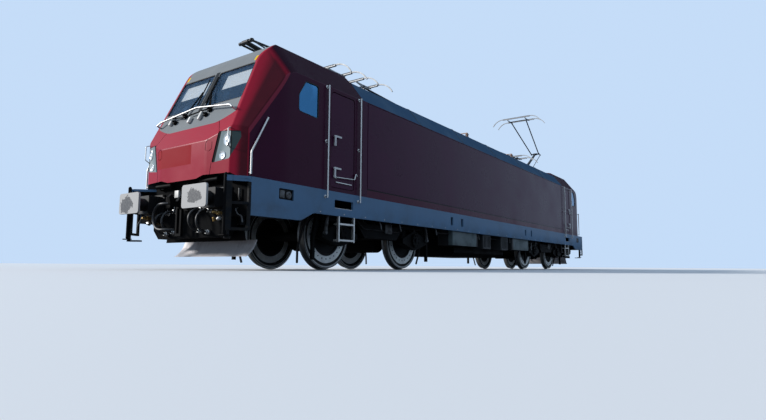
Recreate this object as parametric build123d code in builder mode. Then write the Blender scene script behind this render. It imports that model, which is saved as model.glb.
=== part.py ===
from build123d import *
import os
from math import atan2, cos, radians, sin, tan

# Electric locomotive on two four-wheeled bogies, with a cab at each end and four single-arm
# current collectors on the roof. Millimetres. X runs to the front cab, Y to the left side,
# Z up from the floor under the wheel flanges. Both ends are alike.

# Track and wheels
flange_height = 28
rail_top = flange_height            # heights below are this plus the height above the rail
wheel_radius = 625
wheel_inner_face = 680              # half the distance between the backs of the wheels
wheel_width = 135
rim_depth = 85
web_width = 60
disc_step = 6                       # how far the brake disc's face lies behind the rim's
disc_inner = 355
hub_radius = 140
axle_radius = 92
journal_radius = 75
journal_end = 1110
running_gap = 0.08                  # radial play of a shaft in its bearing
seat_gap = 0.3                      # between faces that rest or slide on each other
clear_gap = 8                       # between a moving piece and what it passes
axle_z = flange_height + wheel_radius

# Bogies
bogie_centre = 5220
half_wheelbase = 1300
sill_y = 1060                       # middle of a bogie's side beam
sill_width = 190
sill_end = 1800
sill_end_top = rail_top + 1060
sill_end_bottom = rail_top + 860
sill_mid_top = rail_top + 880
sill_mid_bottom = rail_top + 600
sill_mid_half = 560
sill_slope = 240
transom_half = 300
pivot_radius = 110
pivot_bottom = rail_top + 560
box_radius = 215                    # axle bearing housing
box_width = 200
box_wall_end = 45
box_cap_radius = 150
box_cap_depth = 38
primary_spring_radius = 88
primary_spring_offset = 400
spring_foot = axle_z + 35
spring_coils = 4
guard_reach = 170                   # how far a guard iron stands beyond the side beam's end
guard_bottom = rail_top + 160
main_spring_radius = 105
main_spring_pitch = 255
motor_radius = 290
motor_half = 480
motor_offset = 770
motor_z = rail_top + 640
gear_case_radius = 300
gear_case_y = 585
gear_case_width = 90

# Body
half_width = 1488.5
skirt_end = 8920                    # outer face of the headstock
skirt_bottom = rail_top + 920
skirt_end_bottom = rail_top + 773
skirt_rise_low = 7900
skirt_rise_high = 7600
skirt_rise_radius = 180
skirt_thickness = 45
foot_hole_x = 6825
foot_hole_z = rail_top + 1125
vents = (2220, 2760)
vent_z = rail_top + 1140
socket_x = skirt_end - 695
socket_z = rail_top + 1155
socket_depth = 30
apron_half = 1000                   # plate hung behind and below the headstock
apron_bottom = rail_top + 480
floor_top = rail_top + 1340
floor_thickness = 40
floor_bottom = floor_top - floor_thickness
headstock_thickness = 160
headstock_bottom = rail_top + 780
bolster_half = 400
bolster_depth = 130
cant = rail_top + 3180
wall = 60
cab_back = 6300                     # joint between a cab and the machine room
shoulder_y = half_width - 318.5
shoulder_z = rail_top + 3590
deck_y = half_width - 398.5
deck_z = rail_top + 3620
deck_thickness = 45

# Cab
nose_x = 9090
nose_foot_z = rail_top + 1425
nose_knee_z = rail_top + 1964
screen_head = nose_x - 594
screen_head_z = rail_top + 3300
cab_roof_z = rail_top + 3860
cab_shoulder_y = half_width - 438.5
cab_shoulder_z = rail_top + 3735
brow_radius = 850
shoulder_radius = 130
shoulder_blend = 420                # where the cab's corner runs into its roof
crease_radius = 55
cab_rear_slope = 150
nose_plan = (
    # bends of the nose from above: how far behind its face, how far in from the side, rounding
    (790, 0, 900),
    (218, 154, 60),
    (73, 399.5, 60),
    (0, 888.5, 500),
)
corner_normal = Vector(0.7603, 0.5241, 0.3838).normalized()
corner_foot = Vector(nose_x - 240, half_width - 148.5, rail_top + 2147)
corner_reach = corner_normal.dot(corner_foot)
pane_bottom = 758                   # along the slope, from the nose's knee
pane_top = 1512
pane_inner = 62
pane_outer_bottom = half_width - 473
pane_outer_top = half_width - 525
pane_recess = 14
pane_thickness = 14
pane_corner = 45
lip_half = 380
lip_spread = 170
lip_drop = 42
lip_depth = 90
window_back = cab_back + 1230
window_front = window_back + 480
window_foot = rail_top + 2520
window_head = rail_top + 3100
groove_width = 9                    # seams and covers cut into the nose
lamp_reach = 260
lamp_recess = 8
lamp_points = (
    # from the side, above the rail
    (763, 1597),
    (640, 2078),
    (262, 2056),
    (254, 1960),
    (330, 1790),
    (415, 1640),
)
cover_points = ((852, 1971), (762, 1931), (770, 1821), (826, 1785), (900, 1813), (896, 1915))
seam_low = ((795, 1400), (763, 1605))
seam_high = ((640, 2070), (775, 2290))

# Buffers, plough, steps and rails
buffer_face = 9450
buffer_y = 875
buffer_z = rail_top + 1042
buffer_plate = 32
plough_x = 8330
plough_half = 950
plough_top = rail_top + 460
plough_bottom = rail_top + 190
plough_reach = 210                  # how far its lower edge stands in front of its upper one
plough_sheet = 16
plough_arm_y = 560
step_y = half_width - skirt_thickness / 2
step_length = 320
step_turn = -34                     # the shunter's step follows the corner of the nose
step_bar = 40
step_foot = rail_top + 550
ladder_x = 6740
ladder_half = 210
ladder_foot = rail_top + 470
rail_stand = 55
rail_radius = 14
door_rails = (6430, 7330)
door_rail_foot = rail_top + 1200
door_rail_length = 1970
nose_handle_out = 62
nose_handle_top = rail_top + 2105
nose_handle_foot = rail_top + 1800
nose_handle_radius = 8
nose_handle_turn = 20
hoses = (
    # Y, height of the cock above the rail, length of the straight fall
    (300, 860, 150),
    (560, 830, 130),
)
hose_radius = 24
screen_rail_stand = 75
screen_rail_half = 1017
screen_rail_slope = 508
screen_rail_crown = 705
corner_rail_top = rail_top + 2295
corner_rail_knee = rail_top + 1735
corner_rail_foot = rail_top + 1395
wiper_y = 330
wiper_slope = 630
blade_y = 113
blade_foot = 820
blade_length = 560
transformer_half_x = 1650
transformer_half_y = 950
transformer_bottom = rail_top + 330
box_bottom = rail_top + 575
box_x = 1910
box_half = 700
rib_box_x = 620
rib_box_half = 260
rib_box_bottom = rail_top + 540
rib_pitch = 88

# Inside the cabs
desk_back = nose_x - 840
desk_front = nose_x - 290
desk_half = 1000
desk_foot = floor_top + wall
desk_back_z = rail_top + 2180
desk_edge_z = rail_top + 2050
seat_x = 7700
seat_y = -420
blind_y = 590
blind_slope = 1290
blind_width = 700
blind_height = 300

# Doors
door_back = 6552
door_front = 7204
door_foot = floor_top + wall + 4
door_head = rail_top + 3110
door_gap = 12
door_recess = 8
door_thickness = 46
door_corner = 70
hinge_y = half_width - wall - 34
hinge_inset = 28
hinge_pin_radius = 14
hinge_lug = 60
hinge_lug_radius = 26
hinge_arm = 90
hinge_x = door_back + hinge_inset
handle_heights = (rail_top + 1747, rail_top + 2313)
handle_stand = 40
handle_length = 190
handle_bar = 32
hinge_heights = (rail_top + 1720, rail_top + 2800)

# Collectors on the roof: base pivot X, which way the lower arm points, how far it is raised
arm_lower = 1620
arm_upper = 2140
pivot_z = rail_top + 3950
lowered_angle = 6
lowered_upper_angle = 0
raised_angle = 33.7
upper_share = 1.03                  # the upper arm's turn for each degree of the lower arm's
collectors = (
    # name, base pivot X, direction, angle of the lower arm
    ("outer_front", 6300, 1, lowered_angle),
    ("inner_front", 4300, -1, lowered_angle),
    ("inner_rear", -4300, 1, lowered_angle),
    ("outer_rear", -6300, -1, raised_angle),
)
lower_tube = 56
lower_taper = 0.5
knee_sleeve_radius = 42
knee_sleeve_half = 80
knee_pin = 24
upper_tube = 21
upper_knee_y = 155
upper_head_y = 310
head_pin = 18
head_pin_half = 375
hanger_y = 350
strip_half = 550
strip_offset = 262
strip_rise = 40
strip_height = 40
strip_width = 50
horn_reach = 975
horn_drop = 250
horn_width = 26
hanger_thickness = 12
hanger_outline = (
    # X from the head's pin, height above it
    (-282, 12), (-282, strip_rise), (-236, strip_rise), (-60, 32), (60, 32), (236, strip_rise),
    (282, strip_rise), (282, 12), (34, -32), (-34, -32),
)
lever_thickness = 11
base_front = 980                    # how far the base frame reaches behind the pivot
base_back = 60
base_beam = 200
base_half = 430
base_tube = 70
base_top = pivot_z - 66
base_hub = 48
base_shaft = 30
base_shaft_half = 150
base_lug_y = 117
lug_thickness = 24
rod_radius = 15
rod_root_x = 100
rod_root_z = -80
rod_lever = 60
rod_lever_turn = -20
rod_y = 210
rod_pin = 9
rod_eye_play = 11                   # room for the lever's pin inside the rod's far eye
insulator_radius = 58
insulator_core = 38
insulator_inset = 120
shed_pitch = 65
bus_reach = 3700
bus_y = 520
bus_z = deck_z + 285
bus_radius = 18
bus_posts = (-3300, -1100, 1100, 3300)
link_y = 800                        # posts nearer the side, each tied to the bus bar by a link
link_posts = (500, -2900)

rim_inner = wheel_radius - rim_depth
wheel_outer_face = wheel_inner_face + wheel_width
web_inner = wheel_inner_face + 38
web_outer = web_inner + web_width
wheel_profile = (
    # distance from the middle of the axle, radius
    (0, 0),
    (0, axle_radius),
    (wheel_inner_face - 30, axle_radius),
    (wheel_inner_face - 30, hub_radius),
    (web_inner, hub_radius),
    (web_inner, rim_inner),
    (wheel_inner_face, rim_inner),
    (wheel_inner_face, wheel_radius + 12),
    (wheel_inner_face + 10, wheel_radius + flange_height),
    (wheel_inner_face + 24, wheel_radius + flange_height),
    (wheel_inner_face + 34, wheel_radius + 1),
    (wheel_outer_face, wheel_radius - 3),
    (wheel_outer_face, rim_inner),
    (web_outer, rim_inner - 6),
    (web_outer, rim_inner - 18),
    (wheel_outer_face - disc_step, rim_inner - 18),
    (wheel_outer_face - disc_step, disc_inner),
    (web_outer, disc_inner - 5),
    (web_outer, hub_radius),
    (wheel_outer_face + 20, hub_radius),
    (wheel_outer_face + 20, journal_radius),
    (journal_end, journal_radius),
    (journal_end, 0),
)

os.makedirs("parts", exist_ok=True)


def side_plane(y):
    """An upright plane at y, seen from the right: local X is X, local Y is Z, extrudes towards -Y."""
    return Plane.XZ.offset(-y)


def end_plane(x):
    """An upright plane at x: local X is Y, local Y is Z, extrudes towards +X."""
    return Plane.YZ.offset(x)


def save(piece, name):
    """Labels a finished piece and writes it to its own file."""
    piece.label = name
    export_step(piece, f"parts/{name}.step")


def both_ends(piece):
    """The piece and its mirror image at the other end."""
    return [piece, piece.mirror(Plane.YZ)]


def four_corners(piece):
    """The piece of the front left corner and its mirror images at the other three."""
    return both_ends(piece) + [each.mirror(Plane.XZ) for each in both_ends(piece)]


# Underframe: floor, skirts with their holes, headstocks, bolsters and pivot pins
with BuildPart() as underframe:
    with BuildSketch(Plane.XY.offset(floor_bottom)):
        Rectangle(2 * skirt_end, 2 * half_width)
    extrude(amount=floor_thickness)
    for y in (half_width, -half_width + skirt_thickness):
        with BuildSketch(side_plane(y)) as skirt:
            with BuildLine():
                Polyline(
                    (-skirt_end, floor_bottom),
                    (-skirt_end, skirt_end_bottom),
                    (-skirt_rise_low, skirt_end_bottom),
                    (-skirt_rise_high, skirt_bottom),
                    (skirt_rise_high, skirt_bottom),
                    (skirt_rise_low, skirt_end_bottom),
                    (skirt_end, skirt_end_bottom),
                    (skirt_end, floor_bottom),
                    close=True,
                )
            make_face()
            corners = [
                v for v in skirt.vertices()
                if skirt_rise_high - 1 < abs(v.X) < skirt_rise_low + 1
            ]
            fillet(corners, radius=skirt_rise_radius)
        extrude(amount=skirt_thickness)
    for side in (1, -1):
        face = half_width if side > 0 else -half_width + skirt_thickness
        with BuildSketch(side_plane(face)):
            for end in (1, -1):
                with Locations((end * foot_hole_x, foot_hole_z)):
                    RectangleRounded(510, 150, 20)
                for vent_x in vents:
                    with Locations((end * vent_x, vent_z)):
                        RectangleRounded(120, 200, 20)
        extrude(amount=skirt_thickness, mode=Mode.SUBTRACT)
        face = half_width if side > 0 else -half_width + socket_depth
        with BuildSketch(side_plane(face)):
            for end in (1, -1):
                with Locations((end * socket_x, socket_z)):
                    RectangleRounded(310, 170, 15)
        extrude(amount=socket_depth, mode=Mode.SUBTRACT)
    for end in (1, -1):
        back = skirt_end - headstock_thickness if end > 0 else -skirt_end
        with BuildSketch(end_plane(back)):
            with Locations((0, (floor_bottom + headstock_bottom) / 2)):
                Rectangle(2 * (half_width - skirt_thickness), floor_bottom - headstock_bottom)
            with BuildLine():
                Polyline((-apron_half, headstock_bottom), (-apron_half, apron_bottom + 150),
                         (-apron_half + 150, apron_bottom), (apron_half - 150, apron_bottom),
                         (apron_half, apron_bottom + 150), (apron_half, headstock_bottom), close=True)
            make_face()
        extrude(amount=headstock_thickness)
        with BuildSketch(Plane.XY.offset(floor_bottom)):
            with Locations((end * bogie_centre, 0)):
                Rectangle(2 * bolster_half, 2 * (half_width - skirt_thickness))
        extrude(amount=-bolster_depth)
        with BuildSketch(Plane.XY.offset(floor_bottom - bolster_depth)):
            with Locations((end * bogie_centre, 0)):
                Circle(pivot_radius)
        extrude(amount=-(floor_bottom - bolster_depth - pivot_bottom))
save(underframe.part, "underframe")


# Machine room: side walls with the panel grooves, and the roof with its sloped edges
groove = 22
groove_depth = 8
panel_end = 6150
panel_foot = rail_top + 1490
with BuildPart() as side_walls:
    for side in (1, -1):
        face = half_width if side > 0 else -half_width + wall
        with BuildSketch(side_plane(face)):
            with Locations((0, (floor_top + cant) / 2)):
                Rectangle(2 * cab_back, cant - floor_top)
        extrude(amount=wall)
        face = half_width if side > 0 else -half_width + groove_depth
        with BuildSketch(side_plane(face)):
            with Locations((0, (panel_foot + cant - groove) / 2)):
                Rectangle(2 * panel_end + groove, cant - panel_foot)
                Rectangle(2 * panel_end - groove, cant - panel_foot - 2 * groove, mode=Mode.SUBTRACT)
        extrude(amount=groove_depth, mode=Mode.SUBTRACT)
save(side_walls.part, "side_walls")

with BuildPart() as machine_roof:
    with BuildSketch(end_plane(-cab_back)):
        with BuildLine():
            Polyline((half_width, cant), (shoulder_y, shoulder_z), (deck_y, deck_z), (-deck_y, deck_z),
                     (-shoulder_y, shoulder_z), (-half_width, cant), close=True)
        make_face()
        with BuildLine():
            Polyline((half_width - wall, cant), (deck_y - deck_thickness, deck_z - deck_thickness),
                     (-deck_y + deck_thickness, deck_z - deck_thickness), (-half_width + wall, cant), close=True)
        make_face(mode=Mode.SUBTRACT)
    extrude(amount=2 * cab_back)
save(machine_roof.part, "machine_roof")


def blend_cutter(side, inset):
    """What is cut from the edge between a cab's corner plane and its roof shoulder to round it."""
    corner = Vector(corner_normal.X, side * corner_normal.Y, corner_normal.Z)
    shoulder = Vector(0, side * (cab_shoulder_z - cant), half_width - cab_shoulder_y).normalized()
    between = (corner + shoulder).normalized()
    half_turn = radians(corner.get_angle(shoulder)) / 2
    shoulder_reach = shoulder.dot(Vector(0, side * half_width, cant)) - inset
    mix = corner.dot(shoulder)
    # the edge's nearest point to the origin, as shares of the two planes' normals
    corner_share = (corner_reach - inset - mix * shoulder_reach) / (1 - mix * mix)
    shoulder_share = (shoulder_reach - mix * (corner_reach - inset)) / (1 - mix * mix)
    radius = shoulder_blend - inset
    touch_back = -radius * sin(half_turn) ** 2 / cos(half_turn)
    touch_side = radius * sin(half_turn)
    spare = 60
    far_back = touch_back + spare * cos(half_turn)
    far_side = touch_side + spare * sin(half_turn)
    edge_plane = Plane(
        origin=corner * corner_share + shoulder * shoulder_share,
        x_dir=between,
        z_dir=corner.cross(shoulder).normalized(),
    )
    with BuildPart() as cutter:
        with BuildSketch(edge_plane):
            with BuildLine():
                ThreePointArc((touch_back, -touch_side), (radius - radius / cos(half_turn), 0), (touch_back, touch_side))
                Polyline((touch_back, touch_side), (far_back, far_side), (spare, 0), (far_back, -far_side),
                         (touch_back, -touch_side))
            make_face()
        extrude(amount=2 * nose_x, both=True)
    return cutter.part


def cab_body(inset):
    """The closed outer form of the front cab, every face moved in by inset."""
    with BuildPart() as body:
        with BuildSketch(Plane.XZ) as profile:
            with BuildLine():
                Polyline(
                    (cab_back, floor_top),
                    (skirt_end, floor_top),
                    (skirt_end + 90, nose_foot_z),
                    (nose_x, nose_foot_z),
                    (nose_x, nose_knee_z),
                    (screen_head, screen_head_z),
                    (brow_x, cab_roof_z),
                    (cab_back + cab_rear_slope, cab_roof_z),
                    (cab_back, shoulder_z),
                    close=True,
                )
            make_face()
            brow = profile.vertices().sort_by_distance((brow_x, cab_roof_z, 0))[0]
            fillet(brow, radius=brow_radius)
            if inset:
                offset(amount=-inset, kind=Kind.INTERSECTION, mode=Mode.REPLACE)
        extrude(amount=half_width - inset, both=True)
        with BuildSketch(end_plane(cab_back)) as section:
            with BuildLine():
                Polyline((-cab_shoulder_y, cab_shoulder_z), (-half_width, cant), (-half_width, floor_top),
                         (half_width, floor_top), (half_width, cant), (cab_shoulder_y, cab_shoulder_z))
                ThreePointArc((cab_shoulder_y, cab_shoulder_z), (0, cab_roof_z), (-cab_shoulder_y, cab_shoulder_z))
            make_face()
            shoulders = section.vertices().group_by(Axis.Y)[-1]
            fillet(shoulders, radius=shoulder_radius)
            if inset:
                offset(amount=-inset, kind=Kind.INTERSECTION, mode=Mode.REPLACE)
        extrude(amount=nose_x - cab_back, mode=Mode.INTERSECT)
        bends = [(nose_x - back, half_width - drop) for back, drop, rounding in nose_plan]
        with BuildSketch(Plane.XY) as plan:
            with BuildLine():
                Polyline((cab_back, half_width), *bends, *[(x, -y) for x, y in reversed(bends)],
                         (cab_back, -half_width), close=True)
            make_face()
            if inset:
                offset(amount=-inset, kind=Kind.INTERSECTION, mode=Mode.REPLACE)
            else:
                for (x, y), (back, drop, rounding) in zip(bends, nose_plan):
                    for side in (1, -1):
                        fillet(plan.vertices().sort_by_distance((x, side * y, 0))[0], radius=rounding)
        extrude(amount=2 * cab_roof_z, mode=Mode.INTERSECT)
        for side in (1, -1):
            normal = Vector(corner_normal.X, side * corner_normal.Y, corner_normal.Z)
            on_plane = normal * (corner_reach - inset)
            split(bisect_by=Plane(origin=on_plane, z_dir=normal), keep=Keep.BOTTOM)
            add(blend_cutter(side, inset), mode=Mode.SUBTRACT)
    return body.part


screen_slope = atan2(nose_x - screen_head, screen_head_z - nose_knee_z)
brow_x = screen_head - (cab_roof_z - screen_head_z) * tan(screen_slope)
screen_plane = Plane(
    origin=(nose_x, 0, nose_knee_z),
    x_dir=(0, 1, 0),
    z_dir=(cos(screen_slope), 0, sin(screen_slope)),
)


def pane_outline(side, gap):
    """One windscreen pane's outline on the screen plane, drawn in by gap all round."""
    with BuildSketch(Plane.XY) as outline:
        with BuildLine():
            Polyline((side * pane_inner, pane_bottom), (side * pane_outer_bottom, pane_bottom),
                     (side * pane_outer_top, pane_top), (side * pane_inner, pane_top), close=True)
        make_face()
        fillet(outline.vertices(), radius=pane_corner)
        if gap:
            offset(amount=-gap, mode=Mode.REPLACE)
    return outline.sketch


def side_window_outline(gap):
    """The cab's side window on the side wall, its front upper corner cut off."""
    with BuildSketch(Plane.XY) as outline:
        with BuildLine():
            Polyline((window_back, window_foot), (window_front, window_foot + 30),
                     (window_front, window_head - 260), (window_front - 160, window_head),
                     (window_back, window_head), close=True)
        make_face()
        fillet(outline.vertices(), radius=55)
        if gap:
            offset(amount=-gap, mode=Mode.REPLACE)
    return outline.sketch


def on_nose(side, points):
    """Points given from the cab's side and above the rail, as places on an end plane."""
    return [(side * (half_width - inward), rail_top + height) for inward, height in points]


def lamp_outline(side, gap):
    """A headlamp's outline seen along X, on the corner of the nose."""
    with BuildSketch(Plane.XY) as outline:
        with BuildLine():
            Polyline(*on_nose(side, lamp_points), close=True)
        make_face()
        fillet(outline.vertices(), radius=22)
        if gap:
            offset(amount=-gap, mode=Mode.REPLACE)
    return outline.sketch


cab_skin = cab_body(0)
cab_hollow = cab_body(wall)
cab_recess = cab_body(lamp_recess)

with BuildPart() as nose_grooves:
    with BuildSketch(end_plane(nose_x - lamp_reach)):
        for side in (1, -1):
            for points in (seam_low, seam_high, (*cover_points, cover_points[0])):
                with BuildLine():
                    Polyline(*on_nose(side, points))
                trace(line_width=groove_width)
    extrude(amount=2 * lamp_reach)
    add(cab_recess, mode=Mode.SUBTRACT)

with BuildPart() as cab_front:
    add(cab_skin)
    corner_edges = []
    for edge in cab_front.edges():
        middle = edge.center()
        reach = corner_normal.dot(Vector(middle.X, abs(middle.Y), middle.Z))
        if abs(reach - corner_reach) < 3 and (middle.Z < cant - 20 or abs(middle.Y) < cab_shoulder_y):
            corner_edges.append(edge)
    fillet(corner_edges, radius=crease_radius)
    add(nose_grooves.part, mode=Mode.SUBTRACT)
    add(cab_hollow, mode=Mode.SUBTRACT)
    with BuildSketch(end_plane(nose_x - lip_depth)):
        with BuildLine():
            Polyline((-lip_half - lip_spread, nose_foot_z), (-lip_half, nose_foot_z - lip_drop),
                     (lip_half, nose_foot_z - lip_drop), (lip_half + lip_spread, nose_foot_z), close=True)
        make_face()
    extrude(amount=lip_depth)
    for side in (1, -1):
        with BuildSketch(screen_plane.offset(wall)):
            add(pane_outline(side, 0))
        extrude(amount=-3 * wall, mode=Mode.SUBTRACT)
        with BuildSketch(end_plane(nose_x - lamp_reach)):
            add(lamp_outline(side, 0))
        extrude(amount=2 * lamp_reach, mode=Mode.SUBTRACT)
    with BuildSketch(side_plane(half_width)):
        add(side_window_outline(0))
        with Locations(((door_back + door_front) / 2, (door_foot + door_head) / 2)):
            RectangleRounded(door_front - door_back, door_head - door_foot, door_corner)
    extrude(amount=2 * half_width, mode=Mode.SUBTRACT)
    for side in (1, -1):
        for height in hinge_heights:
            with BuildSketch(Plane.XY.offset(height - hinge_lug / 2 + seat_gap)):
                with Locations((hinge_x, side * hinge_y)):
                    Circle(hinge_lug_radius)
                    Rectangle(hinge_arm, 2 * hinge_lug_radius, align=(Align.MAX, Align.CENTER))
                with Locations((hinge_x - hinge_arm, side * hinge_y)):
                    Rectangle(hinge_arm - hinge_inset - 4, half_width - wall - hinge_y,
                              align=(Align.MIN, Align.MIN if side > 0 else Align.MAX))
                with Locations((hinge_x, side * hinge_y)):
                    Circle(hinge_pin_radius + running_gap, mode=Mode.SUBTRACT)
            extrude(amount=hinge_lug - 2 * seat_gap)
save(cab_front.part, "cab_front")
save(cab_front.part.mirror(Plane.YZ), "cab_rear")

# Glazing: two windscreen panes and two side windows in each cab
with BuildPart() as windscreens:
    for side in (1, -1):
        with BuildSketch(screen_plane.offset(-pane_recess)):
            add(pane_outline(side, seat_gap))
        extrude(amount=-pane_thickness)
    mirror(about=Plane.YZ)
save(windscreens.part, "windscreens")

with BuildPart() as side_windows:
    for y in (half_width - pane_recess, -half_width + pane_recess + pane_thickness):
        with BuildSketch(side_plane(y)):
            add(side_window_outline(seat_gap))
        extrude(amount=pane_thickness)
    mirror(about=Plane.YZ)
save(side_windows.part, "side_windows")

# Headlamp units, each a plug that fills its opening on the corner of the nose
with BuildPart() as headlamps:
    add(cab_recess)
    with BuildSketch(end_plane(nose_x - lamp_reach)):
        for side in (1, -1):
            add(lamp_outline(side, seat_gap))
    extrude(amount=2 * lamp_reach, mode=Mode.INTERSECT)
    add(cab_hollow, mode=Mode.SUBTRACT)
    mirror(about=Plane.YZ)
save(headlamps.part, "headlamps")

# Cab doors, hinged at their rear edge and opening inwards
with BuildPart() as door:
    with BuildSketch(side_plane(half_width - door_recess)):
        with Locations(((door_back + door_front) / 2, (door_foot + door_head) / 2)):
            RectangleRounded(door_front - door_back - 2 * door_gap, door_head - door_foot - 2 * door_gap,
                             door_corner - door_gap)
    extrude(amount=door_thickness)
    for height in hinge_heights:
        with BuildSketch(Plane.XY.offset(height - hinge_lug / 2)):
            with Locations((hinge_x, hinge_y)):
                Circle(hinge_pin_radius)
        extrude(amount=hinge_lug)
        for foot in (height - 1.25 * hinge_lug, height + hinge_lug / 2):
            with BuildSketch(Plane.XY.offset(foot)):
                with Locations((hinge_x, hinge_y)):
                    Circle(hinge_lug_radius)
                    Rectangle(2 * hinge_pin_radius, half_width - door_recess - door_thickness - hinge_y,
                              align=(Align.CENTER, Align.MIN))
            extrude(amount=0.75 * hinge_lug)
    for height in handle_heights:
        with BuildSketch(side_plane(half_width + handle_stand)):
            with Locations((door_front - 150, height)):
                RectangleRounded(handle_length, handle_bar, 0.45 * handle_bar)
            with Locations((door_front - 85, height - handle_length / 2 + handle_bar / 2)):
                RectangleRounded(handle_bar, handle_length, 0.45 * handle_bar)
        extrude(amount=22)
        with BuildSketch(side_plane(half_width + handle_stand - 20)):
            for foot in (height, height - handle_length + 1.5 * handle_bar):
                with Locations((door_front - 85, foot)):
                    Circle(14)
        extrude(amount=handle_stand + door_recess - 10)
for name, part in zip(("door_front_left", "door_rear_left", "door_front_right", "door_rear_right"),
                      four_corners(door.part)):
    save(part, name)

# Inside each cab: the desk across the nose, the driver's seat, the sun blinds
with BuildPart() as desks:
    with BuildSketch(side_plane(desk_half)):
        with BuildLine():
            Polyline((desk_back, desk_foot), (desk_front, desk_foot), (desk_front, desk_back_z),
                     (desk_back - 120, desk_edge_z), (desk_back - 120, desk_edge_z - 60),
                     (desk_back, desk_edge_z - 120), close=True)
        make_face()
    extrude(amount=2 * desk_half)
    mirror(about=Plane.YZ)
save(desks.part, "desks")

with BuildPart() as seats:
    with BuildSketch(Plane.XY.offset(desk_foot)):
        with Locations((seat_x, seat_y)):
            Circle(110)
    extrude(amount=330)
    with BuildSketch(Plane.XY.offset(desk_foot + 330)):
        with Locations((seat_x, seat_y)):
            RectangleRounded(500, 500, 60)
    extrude(amount=120)
    with BuildSketch(side_plane(seat_y + 230)):
        with BuildLine():
            Polyline((seat_x - 240, desk_foot + 430), (seat_x - 140, desk_foot + 430),
                     (seat_x - 230, desk_foot + 1150), (seat_x - 330, desk_foot + 1150), close=True)
        make_face()
    extrude(amount=460)
    add(seats.part.rotate(Axis.Z, 180))
save(seats.part, "seats")

with BuildPart() as sun_blinds:
    with BuildSketch(screen_plane.offset(-wall - 12)):
        for side in (1, -1):
            with Locations((side * blind_y, blind_slope)):
                Rectangle(blind_width, blind_height)
    extrude(amount=12 - seat_gap)
    mirror(about=Plane.YZ)
save(sun_blinds.part, "sun_blinds")

# Buffers: crash box, plunger and wide plate
with BuildPart() as buffers:
    for side in (1, -1):
        for start, length, shape in ((skirt_end, 26, 380), (skirt_end + 26, 250, 300)):
            with BuildSketch(end_plane(start)):
                with Locations((side * buffer_y, buffer_z)):
                    RectangleRounded(shape, shape, 20)
            extrude(amount=length)
        with BuildSketch(end_plane(skirt_end + 276)):
            with Locations((side * buffer_y, buffer_z)):
                Circle(105)
        extrude(amount=buffer_face - buffer_plate - skirt_end - 276)
        with BuildSketch(end_plane(buffer_face - buffer_plate)):
            with Locations((side * buffer_y, buffer_z)):
                RectangleRounded(580, 340, 45)
        extrude(amount=buffer_plate)
    mirror(about=Plane.YZ)
save(buffers.part, "buffers")

# Draw hook with the screw coupling hung on it
with BuildPart() as draw_gear:
    with BuildSketch(end_plane(skirt_end)):
        with Locations((0, buffer_z)):
            RectangleRounded(260, 260, 20)
    extrude(amount=30)
    with BuildSketch(side_plane(32)):
        with BuildLine():
            Polyline((skirt_end + 30, buffer_z - 55), (skirt_end + 250, buffer_z - 85),
                     (skirt_end + 360, buffer_z - 40), (skirt_end + 385, buffer_z + 60),
                     (skirt_end + 340, buffer_z + 110), (skirt_end + 300, buffer_z + 60),
                     (skirt_end + 295, buffer_z + 5), (skirt_end + 235, buffer_z + 5),
                     (skirt_end + 205, buffer_z + 60), (skirt_end + 30, buffer_z + 60), close=True)
        make_face()
    extrude(amount=64)
    with BuildSketch(end_plane(skirt_end + 150)):
        with Locations((0, buffer_z - 300)):
            Rectangle(150, 480)
            Rectangle(70, 400, mode=Mode.SUBTRACT)
    extrude(amount=42)
    mirror(about=Plane.YZ)
save(draw_gear.part, "draw_gear")

# Obstacle plough: a curved sheet under each headstock on two brackets
with BuildPart() as ploughs:
    plough_middle = (plough_top + plough_bottom) / 2
    with BuildSketch(side_plane(plough_half)):
        with BuildLine():
            for x in (plough_x, plough_x - plough_sheet):
                ThreePointArc((x, plough_top), (x + 0.3 * plough_reach, plough_middle), (x + plough_reach, plough_bottom))
            Line((plough_x, plough_top), (plough_x - plough_sheet, plough_top))
            Line((plough_x + plough_reach, plough_bottom), (plough_x + plough_reach - plough_sheet, plough_bottom))
        make_face()
    extrude(amount=2 * plough_half)
    for side in (1, -1):
        with BuildSketch(side_plane(side * plough_arm_y + 20)):
            with BuildLine():
                Polyline((plough_x - 90, floor_bottom), (plough_x + 120, floor_bottom), (plough_x, plough_top),
                         (plough_x + 0.28 * plough_reach, plough_middle), (plough_x - 40, plough_middle), close=True)
            make_face()
        extrude(amount=40)
    mirror(about=Plane.YZ)
save(ploughs.part, "ploughs")

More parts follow.
